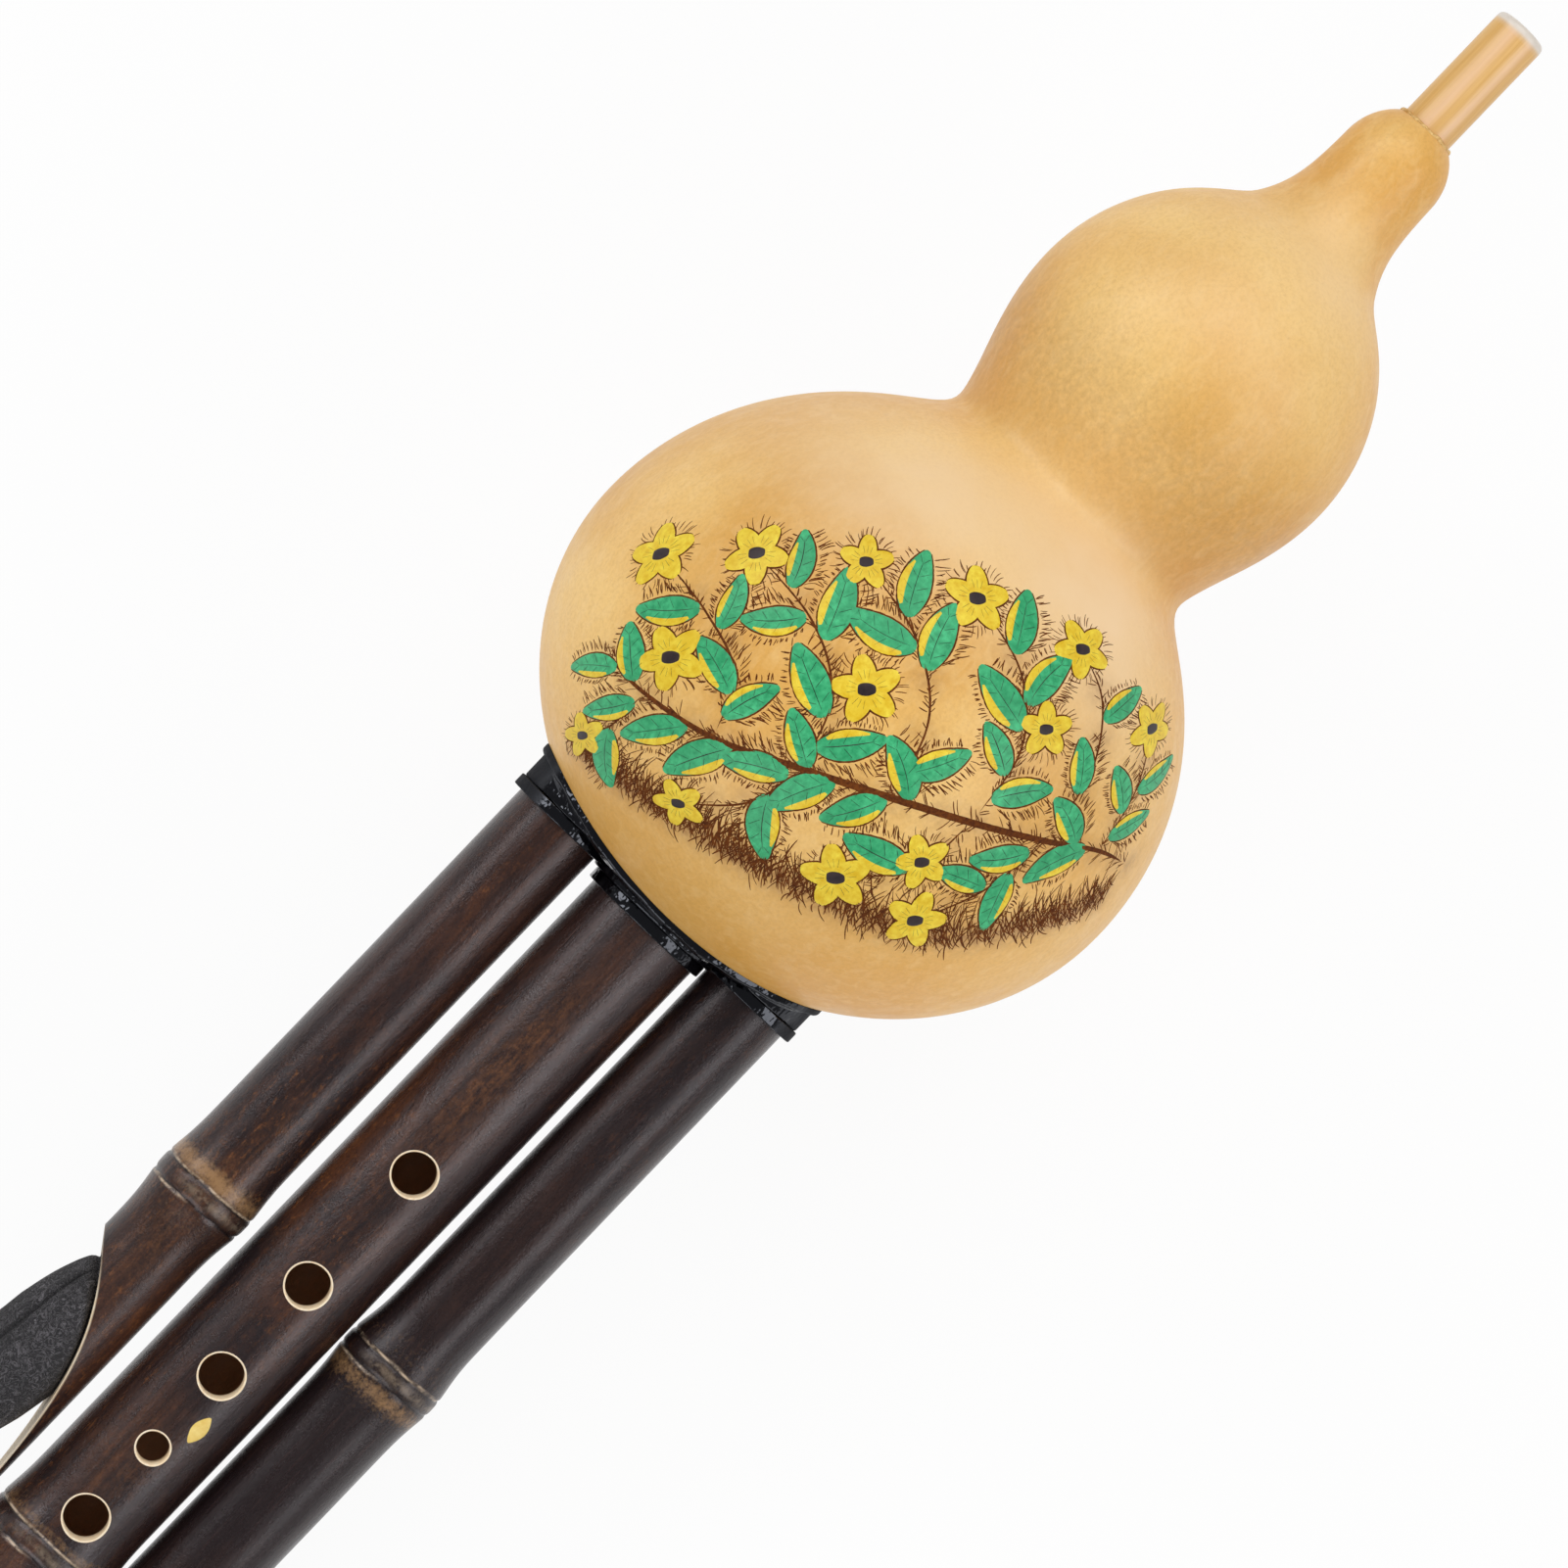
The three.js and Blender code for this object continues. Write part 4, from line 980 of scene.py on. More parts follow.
facePoints, faceTriangles = flatFace(faceLoops, base["face"], True)
backPoints, backTriangles = flatFace(backLoops, base["back"], False)
basePoints, baseBlocks = joined(parts)
count = len(basePoints)
basePoints = np.concatenate([basePoints, facePoints, backPoints])
baseBlocks += [faceTriangles + count, backTriangles + count + len(facePoints)]
endShare = smoothStep(np.abs(basePoints[:, 1] - oval["centre"]) / oval["halfWidth"], 0.86, 0.97)
putPiece("baseMoulding", basePoints, baseBlocks, looks["plastic"], "wind_chest", "base_plastic",
         ["base_socket"], {"dull": endShare}, sharp=30)

collars = {
    "main_collar": {"side": 0.0, "inner": 10.45, "outer": 11.1, "from": -6.7, "to": -4.82},
    "left_collar": {"side": 19.95, "inner": 7.95, "outer": 9.0, "from": -4.3, "to": -2.42},
    "right_collar": {"side": -19.05, "inner": 7.95, "outer": 9.0, "from": -4.3, "to": -2.42},
}
collarSet = {"bossClear": 12.3, "thinnest": 0.02, "innerRound": 0.12, "sideRound": 0.06, "outerRound": 0.22,
             "mainColumns": 128, "sideColumns": 112}


def collarPath(c, inner, outer, innerRound):
    # closed path of a collar's section, rounded more on its outside
    corners = [(c["from"], inner, innerRound), (c["to"], inner, innerRound),
               (c["to"], outer, collarSet["outerRound"]), (c["from"], outer, collarSet["outerRound"])]
    return roundedPath(corners)[::-1]


for name, c in collars.items():
    marks = None
    if c["side"] == 0:
        path = collarPath(c, c["inner"], c["outer"], collarSet["innerRound"])
        ring = turnedPoints(path, collarSet["mainColumns"])
        blocks = [gridFaces(len(path), collarSet["mainColumns"], wrapRows=True)]
    else:
        # an open ring, thinned where the boss's clear circle cuts into it and closed by two caps
        columns, away = collarSet["sideColumns"], abs(c["side"])
        reach = c["inner"] + collarSet["thinnest"]
        half = math.acos((collarSet["bossClear"] ** 2 - away ** 2 - reach ** 2) / (2 * away * reach))
        sweep = np.linspace(-half, half, columns)[None, :]
        limit = rayToCircle(-away * np.cos(sweep), away, collarSet["bossClear"])
        thickness = np.clip(np.minimum(c["outer"], limit), reach, None) - c["inner"]
        path = collarPath(c, 0.0, 1.0, collarSet["sideRound"])
        radius = c["inner"] + np.clip(path[:, 1:], 0, 1) * thickness
        ring = ringPoints(path[:, :1], radius, sweep if c["side"] > 0 else np.pi - sweep, c["side"])
        first = np.arange(len(path))[None, :] * columns
        blocks = [gridFaces(len(path), columns, wrapRows=True, wrapColumns=False), first,
                  first[:, ::-1] + columns - 1]
        farOut = np.abs(ring[..., 1] - oval["centre"]) / oval["halfWidth"]
        marks = {"dull": smoothStep(farOut, 0.82, 0.95).ravel()}
    putPiece(name.split("_")[0] + "Collar", ring, blocks, looks["plastic"], "wind_chest", "base_plastic",
             [name], marks)
print("base made")

# mouthpiece
mouthpiece = {
    "radius": 4.35, "bore": 2.6, "proud": 21.6, "depth": 20.0, "round": 1.1, "roundSteps": 9,
    "rows": 60, "columns": 96,
    # stripes of painted highlight along the fibres: turn, width, strength
    "paintedSheenStripes": [(1.25, 0.22, 0.8), (2.04, 0.2, 0.65), (3.6, 0.3, 0.5), (4.7, 0.25, 0.7), (5.7, 0.3, 0.5)],
}
tip = gourd["top"] + mouthpiece["proud"] - 0.04
start = gourd["top"] - mouthpiece["depth"]
path = roundedPath([(start, mouthpiece["bore"], 0.1), (start, mouthpiece["radius"], 0.2),
                    (tip, mouthpiece["radius"], mouthpiece["round"]), (tip, mouthpiece["bore"], 0.25)],
                   mouthpiece["roundSteps"])
# even rows along the outside, between the second corner of the path and the third
lengthwise = np.linspace(start + 1, tip - 1.6, mouthpiece["rows"])
straight = np.stack([lengthwise, 0 * lengthwise + mouthpiece["radius"]], -1)
secondEnd = 2 * mouthpiece["roundSteps"]
path = np.concatenate([path[:secondEnd], straight, path[secondEnd:]])
points = turnedPoints(path, mouthpiece["columns"], -gourd["bend"])
places = np.repeat(path[:, 0], mouthpiece["columns"])
radii = np.repeat(path[:, 1], mouthpiece["columns"])
fibreAngle = np.tile(fullTurn(mouthpiece["columns"]), len(path))
# painted highlight stripes round the tube
blush = sum(strength * bell(fibreAngle, middle, width)
            for middle, width, strength in mouthpiece["paintedSheenStripes"])
marks = {"tip": smoothStep(places, tip - 1.9, tip - 1.0), "inside": (radii < mouthpiece["bore"] + 0.1) * 1.0,
         "blush": np.clip(blush, 0, 1)}
putPiece("mouthpiece", points, [gridFaces(len(path), mouthpiece["columns"], wrapRows=True)],
         looks["mouthpiece"], "wind_chest", "mouthpiece", ["mouthpiece_tube"], marks)

# dried glue where the mouthpiece enters the neck: a bead of uneven width
bead = {"radius": 4.66, "width": 0.36, "length": 0.42, "ahead": 0.16, "columns": 160, "rows": 12}
glueTurn, glueRound = fullTurn(bead["columns"])[None, :], fullTurn(bead["rows"])[:, None]
uneven = 1 + 0.25 * np.sin(3 * glueTurn + 1) + 0.2 * np.sin(7 * glueTurn) + 0.15 * np.sin(13 * glueTurn + 2)
glueRadius = bead["radius"] + bead["width"] * uneven * np.cos(glueRound)
gluePlace = gourd["top"] + bead["ahead"] + bead["length"] * uneven * np.sin(glueRound)
putPiece("glueBead", ringPoints(gluePlace, glueRadius, glueTurn, -gourd["bend"]),
         [gridFaces(bead["rows"], bead["columns"], wrapRows=True)], looks["glue"], "wind_chest", "mouthpiece")
print("mouthpiece made")

# pipes
pipes = {
    "main": {
        "radius": 10.15, "tail": 10.3, "bore": 6.5, "end": 230.0, "node": 135.6, "rise": 0.5, "side": 0.0,
        "tenon": 8.3, "shoulder": -5.1, "grooves": (1.5, -1.6), "worn": (2.6, 1.2, 0.45), "wornTurn": 0.0,
        "look": "bamboo", "amber": [(0.8, -36, 20, 1.4, 0.36), (0.5, -117, 9, 1.45, 0.5)],
    },
    "left": {
        "radius": 7.65, "tail": 7.45, "bore": 4.9, "end": 152.4, "node": 81.0, "rise": 0.75, "side": 19.95,
        "tenon": 6.1, "shoulder": -2.7, "grooves": (1.5, -1.7), "worn": (3.2, 1.7, 0.9), "wornTurn": 2.4,
        "look": "warmBamboo", "amber": [(0.45, -90, 9, 1.35, 0.5), (0.3, -68, 8, 1.8, 0.4)],
    },
    "right": {
        "radius": 7.65, "tail": 8.0, "bore": 4.9, "end": 230.0, "node": 81.2, "rise": 0.8, "side": -19.05,
        "tenon": 6.1, "shoulder": -2.7, "grooves": (1.3, -1.5), "worn": (-3.3, 1.6, 0.7), "wornTurn": 1.2,
        "look": "darkBamboo", "amber": [],
    },
}
bamboo = {
    "tenonEnd": 14.0, "inset": 0.06, "swell": 5.0, "grooveDepth": 0.24, "grooveWidth": 0.3,
    "stainWidth": 0.24, "chalkAway": 0.34, "chalkWidth": 0.15, "headBare": 0.85, "columns": 80,
    # round edge of a hole, room round it, and the columns it takes for each sign of its distance aside
    "holeEdge": 0.3, "holeRoom": 1.3, "holeColumns": {0: (-9, 9), 1: (2, 13), -1: (-13, -2)},
}
# six finger holes in front, then the thumb hole, the vent and two cord holes in the back
holes = [{"place": place, "radius": radius, "face": face, "aside": aside} for place, radius, face, aside in (
    (56.7, 3.45, 1, 0.0), (79.6, 3.45, 1, 0.0), (98.2, 3.45, 1, 0.0), (113.0, 2.5, 1, 0.0),
    (127.4, 3.45, 1, 0.0), (149.0, 3.45, 1, 0.0), (40.0, 3.2, -1, 0.0), (186.0, 2.4, -1, 0.0),
    (212.0, 1.3, -1, 3.6), (212.0, 1.3, -1, -3.6))]


def fromNode(pipe, place, angle):
    # distance from the middle of the bamboo joint, which wanders a little round the pipe
    return (place + pipe["node"] + 0.22 * np.sin(angle + 1) + 0.1 * np.sin(3 * angle)
            + 0.07 * np.sin(7 * angle + 2) + 0.05 * np.sin(12 * angle))


def pipeRadius(pipe, place, angle):
    # tail and head radius blended over the joint, a bell for its swelling, less two fine grooves
    away = fromNode(pipe, place, angle)
    body = pipe["tail"] + (pipe["radius"] - pipe["tail"]) * smoothStep(away, -10, 10)
    swell = pipe["rise"] * bell(away, 0, bamboo["swell"])
    cuts = sum(bamboo["grooveDepth"] * bell(away, groove, bamboo["grooveWidth"])
               for groove in pipe["grooves"])
    waver = 0.03 * np.sin(2 * angle + place / 31) + 0.02 * np.sin(5 * angle + place / 57)
    return body + swell - cuts + waver * smoothStep(-place, 8, 20) - bamboo["inset"]


def pipeMarks(pipe, place, angle):
    # worn band beside the joint, dark in its grooves, and chalky lines on the grooves' edges
    away = fromNode(pipe, place, angle)
    middle, width, strength = pipe["worn"]
    uneven = 0.8 + 0.2 * np.sin(angle + pipe["wornTurn"]) * np.cos(2 * angle + 1)
    worn = strength * uneven * bell(away, middle, width) + 0.16 * bell(np.abs(away), 4, 3)
    first, second = pipe["grooves"]
    groove = bell(away, first, bamboo["stainWidth"]) + bell(away, second, bamboo["stainWidth"])
    upper, lower = (bell(away, line, bamboo["chalkWidth"])
                    for line in (first + bamboo["chalkAway"], second - bamboo["chalkAway"]))
    chalk = (upper + lower * smoothStep(np.sin(2 * angle + 0.4), -0.1, 0.5)
             + 0.22 * bell(away, 0, 0.7) * smoothStep(np.sin(angle - 0.6), 0, 0.8))
    return np.clip(worn, 0, 1), np.clip(groove, 0, 1), np.clip(chalk, 0, 1)


def amberShare(pipe, points):
    # warm patches of the stain, no more than 1
    turn = np.arctan2(points[:, 2], points[:, 1] - pipe["side"])
    return np.clip(patchShare(pipe["amber"], points[:, 0], turn), 0, 1)


def headRows(pipe):
    # (place, radius) from the shoulder under the collar to the tenon's rounded end
    shoulder, tenon, tenonEnd = pipe["shoulder"], pipe["tenon"], bamboo["tenonEnd"]
    return np.array([
        (shoulder - 0.08, pipe["radius"] - bamboo["inset"]), (shoulder, pipe["radius"] - 0.25),
        (shoulder, tenon), (tenonEnd - 0.3, tenon), (tenonEnd, tenon - 0.3)])


def bodyRows(first, last, node, step=1.0):
    # even rows with finer ones at the joint
    fine = np.arange(node - 6, node + 6, 0.3)
    coarse = np.linspace(first, last, int((last - first) / step))
    coarse = coarse[(coarse < node - 6.2) | (coarse > node + 6.2)]
    return np.unique(np.round(np.concatenate([[first, last], coarse, fine]), 4))


def pipeTube(name, rider, stands):
    # outer and inner walls on the same rows, joined at the tail and at the tenon's end; round
    # holes are cut from cells of the grid and closed by rings from circle to cells
    pipe, columns = pipes[name], bamboo["columns"]
    holed = holes if name == "main" else []
    angle = fullTurn(columns)[None, :]
    endPlace = -pipe["end"]
    body = bodyRows(endPlace + 0.5, pipe["shoulder"] - 0.25, -pipe["node"])
    tailRound = np.array([[0.0, -0.5], [0.04, -0.32], [0.15, -0.15], [0.32, -0.04]])
    boreRound = np.array([[0.0, 0.25], [0.03, 0.15], [0.12, 0.04], [0.25, 0.0]])
    head = headRows(pipe)
    place = np.concatenate([endPlace + tailRound[:, 0], body, head[:, 0]])[:, None] + 0 * angle
    radius = np.concatenate([
        pipe["tail"] - bamboo["inset"] + tailRound[:, 1:] + 0 * angle, pipeRadius(pipe, body[:, None], angle),
        head[:, 1:] + 0 * angle])
    boreHead = [pipe["shoulder"], 0.0, 4.0, bamboo["tenonEnd"] - 0.2, bamboo["tenonEnd"]]
    borePlace = np.concatenate([endPlace + boreRound[:, 0], body, boreHead])[:, None] + 0 * angle
    boreRadius = np.concatenate([
        pipe["bore"] + boreRound[:, 1:] + 0 * angle, pipe["bore"] + 0 * body[:, None] + 0 * angle,
        np.array([pipe["bore"]] * 4 + [pipe["bore"] + 0.2])[:, None] + 0 * angle])
    rowCount, first = len(place), len(tailRound)

    outside = ringPoints(place, radius, angle, pipe["side"])
    bore = ringPoints(borePlace, boreRadius, angle, pipe["side"])
    onBody = (place < pipe["shoulder"] - 0.1) & (place > endPlace + 0.3)
    worn, groove, chalk = (mark * onBody for mark in pipeMarks(pipe, place, angle))
    cutOut = (np.where(place < endPlace + 0.2, 1.0, 0.0)
              + np.where(place > pipe["shoulder"] - 0.05, bamboo["headBare"], 0.0))
    size = rowCount * columns
    points = [outside.reshape(-1, 3), bore.reshape(-1, 3)]
    marks = {
        "worn": [worn.ravel(), np.zeros(size)], "groove": [groove.ravel(), np.zeros(size)],
        "chalk": [chalk.ravel(), np.zeros(size)],
        "cut": [cutOut.ravel(), np.where(borePlace < endPlace + 0.2, 1.0, 0.0).ravel()],
        "inside": [np.zeros(size), np.ones(size)], "dull": [cutOut.ravel(), np.ones(size)],
    }
    keep = np.ones((rowCount - 1, columns), bool)
    blocks, total, edge = [], 2 * size, bamboo["holeEdge"]
    for hole in holed:
        middle, rim = -hole["place"], hole["radius"]
        quarter = columns // 4 if hole["face"] > 0 else 3 * columns // 4
        low, high = bamboo["holeColumns"][int(np.sign(hole["aside"]))]
        rowLow = first + int(np.searchsorted(body, middle - rim - bamboo["holeRoom"])) - 1
        rowHigh = first + int(np.searchsorted(body, middle + rim + bamboo["holeRoom"]))
        colLow, colHigh = quarter + low, quarter + high
        keep[rowLow:rowHigh, colLow:colHigh] = False
        i = np.concatenate([np.full(colHigh - colLow, rowLow), np.arange(rowLow, rowHigh),
                            np.full(colHigh - colLow, rowHigh), np.arange(rowHigh, rowLow, -1)])
        j = np.concatenate([np.arange(colLow, colHigh), np.full(rowHigh - rowLow, colHigh),
                            np.arange(colHigh, colLow, -1), np.full(rowHigh - rowLow, colLow)])
        facing = np.pi / 2 if hole["face"] > 0 else 3 * np.pi / 2
        hub = facing + math.asin(hole["aside"] / pipe["tail"])
        bearing = np.arctan2((angle[0, j] - hub) * pipe["tail"], place[i, 0] - middle)

        def rimSpot(across):
            # place, distance aside and wall radius on a circle round the hole's middle
            x = middle + across * np.cos(bearing)
            u = hole["aside"] + across * np.sin(bearing)
            return x, u, pipeRadius(pipe, x, facing + u / pipe["tail"])

        def boredRing(x, u, height):
            # points at a distance aside and a height, on the face that the hole is in
            return np.stack([x, pipe["side"] - u * hole["face"], height * hole["face"]], -1)

        # each ring has its share of cut face and of inside: from the cells in to the rim, over the
        # quarter round of the edge, down the hole and out to the cells of the bore
        rings, kinds = [], []
        x, u, wallRadius = rimSpot(rim + edge)
        rimAngle = facing + np.arcsin(u / wallRadius)
        for inward in (0.3, 0.55, 0.78, 0.9, 0.97, 1.0):
            px = place[i, 0] + (x - place[i, 0]) * inward
            pa = angle[0, j] + (rimAngle - angle[0, j]) * inward
            rings.append(ringPoints(px, pipeRadius(pipe, px, pa), pa, pipe["side"]))
            kinds.append((0.0, 0.0))
        for bevel in (0.02, 0.35, 0.7, 1.0):
            drop, pull = (edge * (1 - part(bevel * math.pi / 2)) for part in (math.cos, math.sin))
            x, u, wallRadius = rimSpot(rim + pull)
            rings.append(boredRing(x, u, np.sqrt(wallRadius ** 2 - u ** 2) - drop))
            kinds.append((1.0, 0.0))
        top = np.sqrt(pipeRadius(pipe, x, facing) ** 2 - u ** 2) - edge
        bottom = np.sqrt(pipe["bore"] ** 2 - u ** 2)
        for depth in (0.15, 0.35, 0.55, 0.8, 1.0):
            rings.append(boredRing(x, u, top + (bottom - top) * depth))
            kinds.append((1.0 - 0.3 * depth ** 3, 0.3 * depth ** 3))
        innerAngle = facing + np.arcsin(u / pipe["bore"])
        for outward in (0.15, 0.5):
            px = x + (borePlace[i, 0] - x) * outward
            pa = innerAngle + (angle[0, j] - innerAngle) * outward
            rings.append(ringPoints(px, pipe["bore"], pa, pipe["side"]))
            kinds.append((0.0, 1.0))
        loop = len(i)
        index = np.concatenate([
            (i * columns + j)[None], total + np.arange(len(rings) * loop).reshape(len(rings), loop),
            (size + i * columns + j)[None]])
        a, b = index[:-1], index[1:]
        blocks.append(np.stack([a, np.roll(a, -1, 1), np.roll(b, -1, 1), b], -1).reshape(-1, 4))
        points.append(np.concatenate(rings))
        total += len(rings) * loop
        kinds = np.repeat(np.array(kinds), loop, 0)
        marks["cut"].append(kinds[:, 0])
        marks["inside"].append(kinds[:, 1])
        marks["dull"].append(np.where(kinds.sum(1) > 0, 1.0, 0.0))
        for mark in ("worn", "groove", "chalk"):
            marks[mark].append(np.zeros(len(kinds)))
    cells = gridFaces(rowCount, columns).reshape(rowCount - 1, columns, 4)
    blocks.append(cells[keep])
    blocks.append(cells[keep][:, ::-1] + size)
    ring = np.arange(columns)
    following = np.roll(ring, -1)
    blocks.append(np.stack([ring, size + ring, size + following, following], -1))
    last = (rowCount - 1) * columns
    blocks.append(np.stack([last + ring, last + following, size + last + following, size + last + ring], -1))
    marks = {mark: np.concatenate(values) for mark, values in marks.items()}
    marks["amber"] = amberShare(pipe, np.concatenate(points))
    putPiece(name + "Pipe", np.concatenate(points), blocks, looks[pipe["look"]], rider, "dark_bamboo",
             [stands], marks, sharp=40)


pipeTube("main", "melody_pipe", "main_pipe")
pipeTube("right", "right_drone_pipe", "right_drone")
print("melody pipe and right drone made")

# left drone with its curved cut
tail = {
    "start": 94.4, "length": 42.0, "curve": [(0, 1), (0.214, 0.12), (0.357, -0.69), (1, -0.87)],
    "tip": -0.93, "halfColumns": 64, "evenFrom": 1.5, "inset": 0.03, "rows": 34, "faceRows": 26,
    # places between which the stain gives way to bare wood, and the wear of the lower part
    "bareFace": (-106, -95), "bareEdge": (-105, -95.5), "stainLeft": 0.8, "lowerWorn": 0.02,
    "lowerDull": 0.45,
}
leftPipe = pipes["left"]


def cutCurve():
    # cubic curve through the shares of the cut, then a quadratic one out to the tongue's tip
    control = np.array([(-tail["start"] - tail["length"] * onward, leftPipe["tail"] * across)
                        for onward, across in tail["curve"]])
    t = np.linspace(0, 1, 400)[:, None]
    cubic = ((1 - t) ** 3 * control[0] + 3 * t * (1 - t) ** 2 * control[1]
             + 3 * t ** 2 * (1 - t) * control[2] + t ** 3 * control[3])
    middle = np.array([(control[3, 0] - leftPipe["end"]) / 2, leftPipe["tail"] * tail["tip"]])
    tipEnd = np.array([-leftPipe["end"], -leftPipe["tail"]])
    tongue = (1 - t) ** 2 * control[3] + 2 * t * (1 - t) * middle + t ** 2 * tipEnd
    return np.concatenate([cubic, tongue[1:]])


curve = cutCurve()


def cutPlace(across):
    # place of the cut at a height across the pipe
    return np.interp(across, curve[::-1, 1], curve[::-1, 0])


fine = np.linspace(0, np.pi, 6000)
edgeCurve = ringPoints(cutPlace(leftPipe["tail"] * np.cos(fine)), leftPipe["tail"], fine)
travel = np.concatenate([[0], np.cumsum(np.linalg.norm(np.diff(edgeCurve, axis=0), axis=1)
                                       + leftPipe["tail"] * np.diff(fine) * 0.8)])
halfTurn = np.interp(np.linspace(0, travel[-1], tail["halfColumns"] + 1), travel, fine)
angle = np.concatenate([halfTurn[:-1], 2 * np.pi - halfTurn[:0:-1]])[None, :]
columns = angle.shape[1]
fixed = -tail["start"] + tail["evenFrom"]
endRadius = leftPipe["tail"] - tail["inset"]
upperRows = bodyRows(fixed, leftPipe["shoulder"] - 0.25, -leftPipe["node"], 1.6)[:, None]
lowerShare = np.linspace(0, 1, tail["rows"])[:-1, None] ** 0.8
lowerPlace = cutPlace(endRadius * np.cos(angle)) * (1 - lowerShare) + fixed * lowerShare
head = headRows(leftPipe)
place = np.concatenate([lowerPlace, upperRows + 0 * angle, head[:, :1] + 0 * angle])
radius = np.concatenate([
    endRadius + 0 * lowerPlace, pipeRadius(leftPipe, upperRows, angle), head[:, 1:] + 0 * angle])
blendIn = smoothStep(place, fixed - 3, fixed)
blended = endRadius + (pipeRadius(leftPipe, place, angle) - endRadius) * blendIn
radius = np.where(place < fixed, blended, radius)
lowerBore = cutPlace(leftPipe["bore"] * np.cos(angle)) * (1 - lowerShare) + fixed * lowerShare
boreHead = np.array([[0.0], [bamboo["tenonEnd"]]])
borePlace = np.concatenate([lowerBore, upperRows + 0 * angle, boreHead + 0 * angle])
levels = (1 - (1 - np.linspace(0, 1, tail["faceRows"])[1:-1]) ** 1.6)[:, None]
cutRadius = leftPipe["bore"] + (endRadius - leftPipe["bore"]) * levels + 0 * angle
cutFace = cutPlace(cutRadius * np.cos(angle))
rowsRadius = np.concatenate([radius[::-1], cutRadius[::-1], leftPipe["bore"] + 0 * borePlace])
rowsPlace = np.concatenate([place[::-1], cutFace[::-1], borePlace])
points = ringPoints(rowsPlace, rowsRadius, angle, leftPipe["side"])
onBody = place < leftPipe["shoulder"] - 0.1
worn, groove, chalk = (mark * onBody for mark in pipeMarks(leftPipe, place, angle))
beyondNode = smoothStep(-place, leftPipe["node"] + 4, leftPipe["node"] + 12)
worn = np.clip(worn + tail["lowerWorn"] * beyondNode, 0, 1)
face, inside = np.zeros(cutFace.shape), np.zeros(borePlace.shape)
bareCut = 1 - tail["stainLeft"] * smoothStep(cutFace, *tail["bareFace"])
bareOutside = np.where(place > leftPipe["shoulder"] - 0.05, bamboo["headBare"], 0.0)
bareOutside[0] += 1 - smoothStep(place[0], *tail["bareEdge"])
boreEdge = inside.copy()
boreEdge[0] = 1


def overRows(outside, onFace, onBore):
    # a mark's values in the order of the rows: outside from the tenon down, cut face, bore
    return np.concatenate([outside[::-1], onFace[::-1], onBore]).ravel()


marks = {
    "worn": overRows(worn, face, inside), "groove": overRows(groove, face, inside),
    "chalk": overRows(chalk, face, inside), "cut": overRows(bareOutside, bareCut, boreEdge),
    "inside": overRows(0 * place, face, inside + 1),
    "dull": overRows(np.maximum(bareOutside, tail["lowerDull"] * beyondNode), face + 1, inside + 1),
    "amber": amberShare(leftPipe, points.reshape(-1, 3)),
}
putPiece("leftPipe", points, [gridFaces(len(rowsPlace), columns, wrapRows=True)], looks[leftPipe["look"]],
         "left_drone_pipe", "dark_bamboo", ["left_drone"], marks, sharp=40)
print("left drone made")

# mute plugs
leftPlug = {"centre": -115.0, "radius": 7.5, "before": 20.6, "behind": 23.5, "offset": 2.5, "lean": 0.13,
            "stemStart": -84.0, "stemEnd": -107.0, "stemRadius": 4.6, "gap": 0.25, "columns": 144,
            "rows": 120, "creaseTurn": 0.8, "creaseWidth": 0.045, "creaseDepth": 0.6, "stemColumns": 64}


def inRoom(points):
    # inside the bore's rod, or past the cut by the gap
    inBore = np.hypot(points[..., 1], points[..., 2]) < leftPlug["stemRadius"]
    cutAt = np.interp(points[..., 0], curve[::-1, 0], curve[::-1, 1], left=-farAway, right=farAway)
    cutAhead = np.interp(points[..., 0] + leftPlug["gap"], curve[::-1, 0], curve[::-1, 1],
                         left=-farAway, right=farAway)
    return inBore | (points[..., 1] > np.maximum(cutAt, cutAhead) + leftPlug["gap"])


# egg round a leaning axis: each ray stops at the egg's skin or where the pipe's wall begins
lean = math.atan(leftPlug["lean"])
latitude = np.linspace(0, np.pi, leftPlug["rows"])[:, None]
bearing = fullTurn(leftPlug["columns"])[None, :]
axisReach = np.where(latitude < np.pi / 2, leftPlug["behind"], leftPlug["before"])
axisPlace = axisReach * -np.cos(latitude) + 0 * bearing
eggRadius = leftPlug["radius"] * np.sin(latitude) ** 0.92 + 0 * bearing
steps = np.linspace(0, 1, 90)[:, None, None]
ray = eggRadius[None] * steps


def eggPoints(distance):
    # points at a distance from the leaning axis: turned by the lean in the plane across the pipe
    across, deep = distance * np.cos(bearing), distance * np.sin(bearing)
    x = axisPlace * math.cos(lean) + across * math.sin(lean) + leftPlug["centre"]
    y = -axisPlace * math.sin(lean) + across * math.cos(lean) + leftPlug["offset"]
    return np.stack([x, y, deep + 0 * x], -1)


clear = np.cumprod(inRoom(eggPoints(ray)), axis=0)
limit = (clear * steps).max(0)
soft = limit.copy()
for _ in range(5):  # soften the line where foam meets wood, never growing it
    around = (np.roll(soft, 1, 1) + np.roll(soft, -1, 1) + np.vstack([soft[:1], soft[:-1]])
              + np.vstack([soft[1:], soft[-1:]])) / 4
    soft = np.minimum(limit, 0.5 * soft + 0.5 * around)
creaseTurn = leftPlug["creaseTurn"] + 0.05 * np.sin(5 * latitude)
creased = sum(bell(bearing, line, leftPlug["creaseWidth"]) for line in (creaseTurn, 2 * np.pi - creaseTurn))
creased = creased * np.sin(latitude) ** 0.5
crease = leftPlug["creaseDepth"] * creased
lumps = 0.06 * np.sin(5 * bearing + 9 * latitude) + 0.05 * np.sin(11 * bearing - 14 * latitude)
eggReach = np.clip(eggRadius * soft - (crease + np.abs(lumps) * np.sin(latitude)) * (soft > 0.97), 0, None)
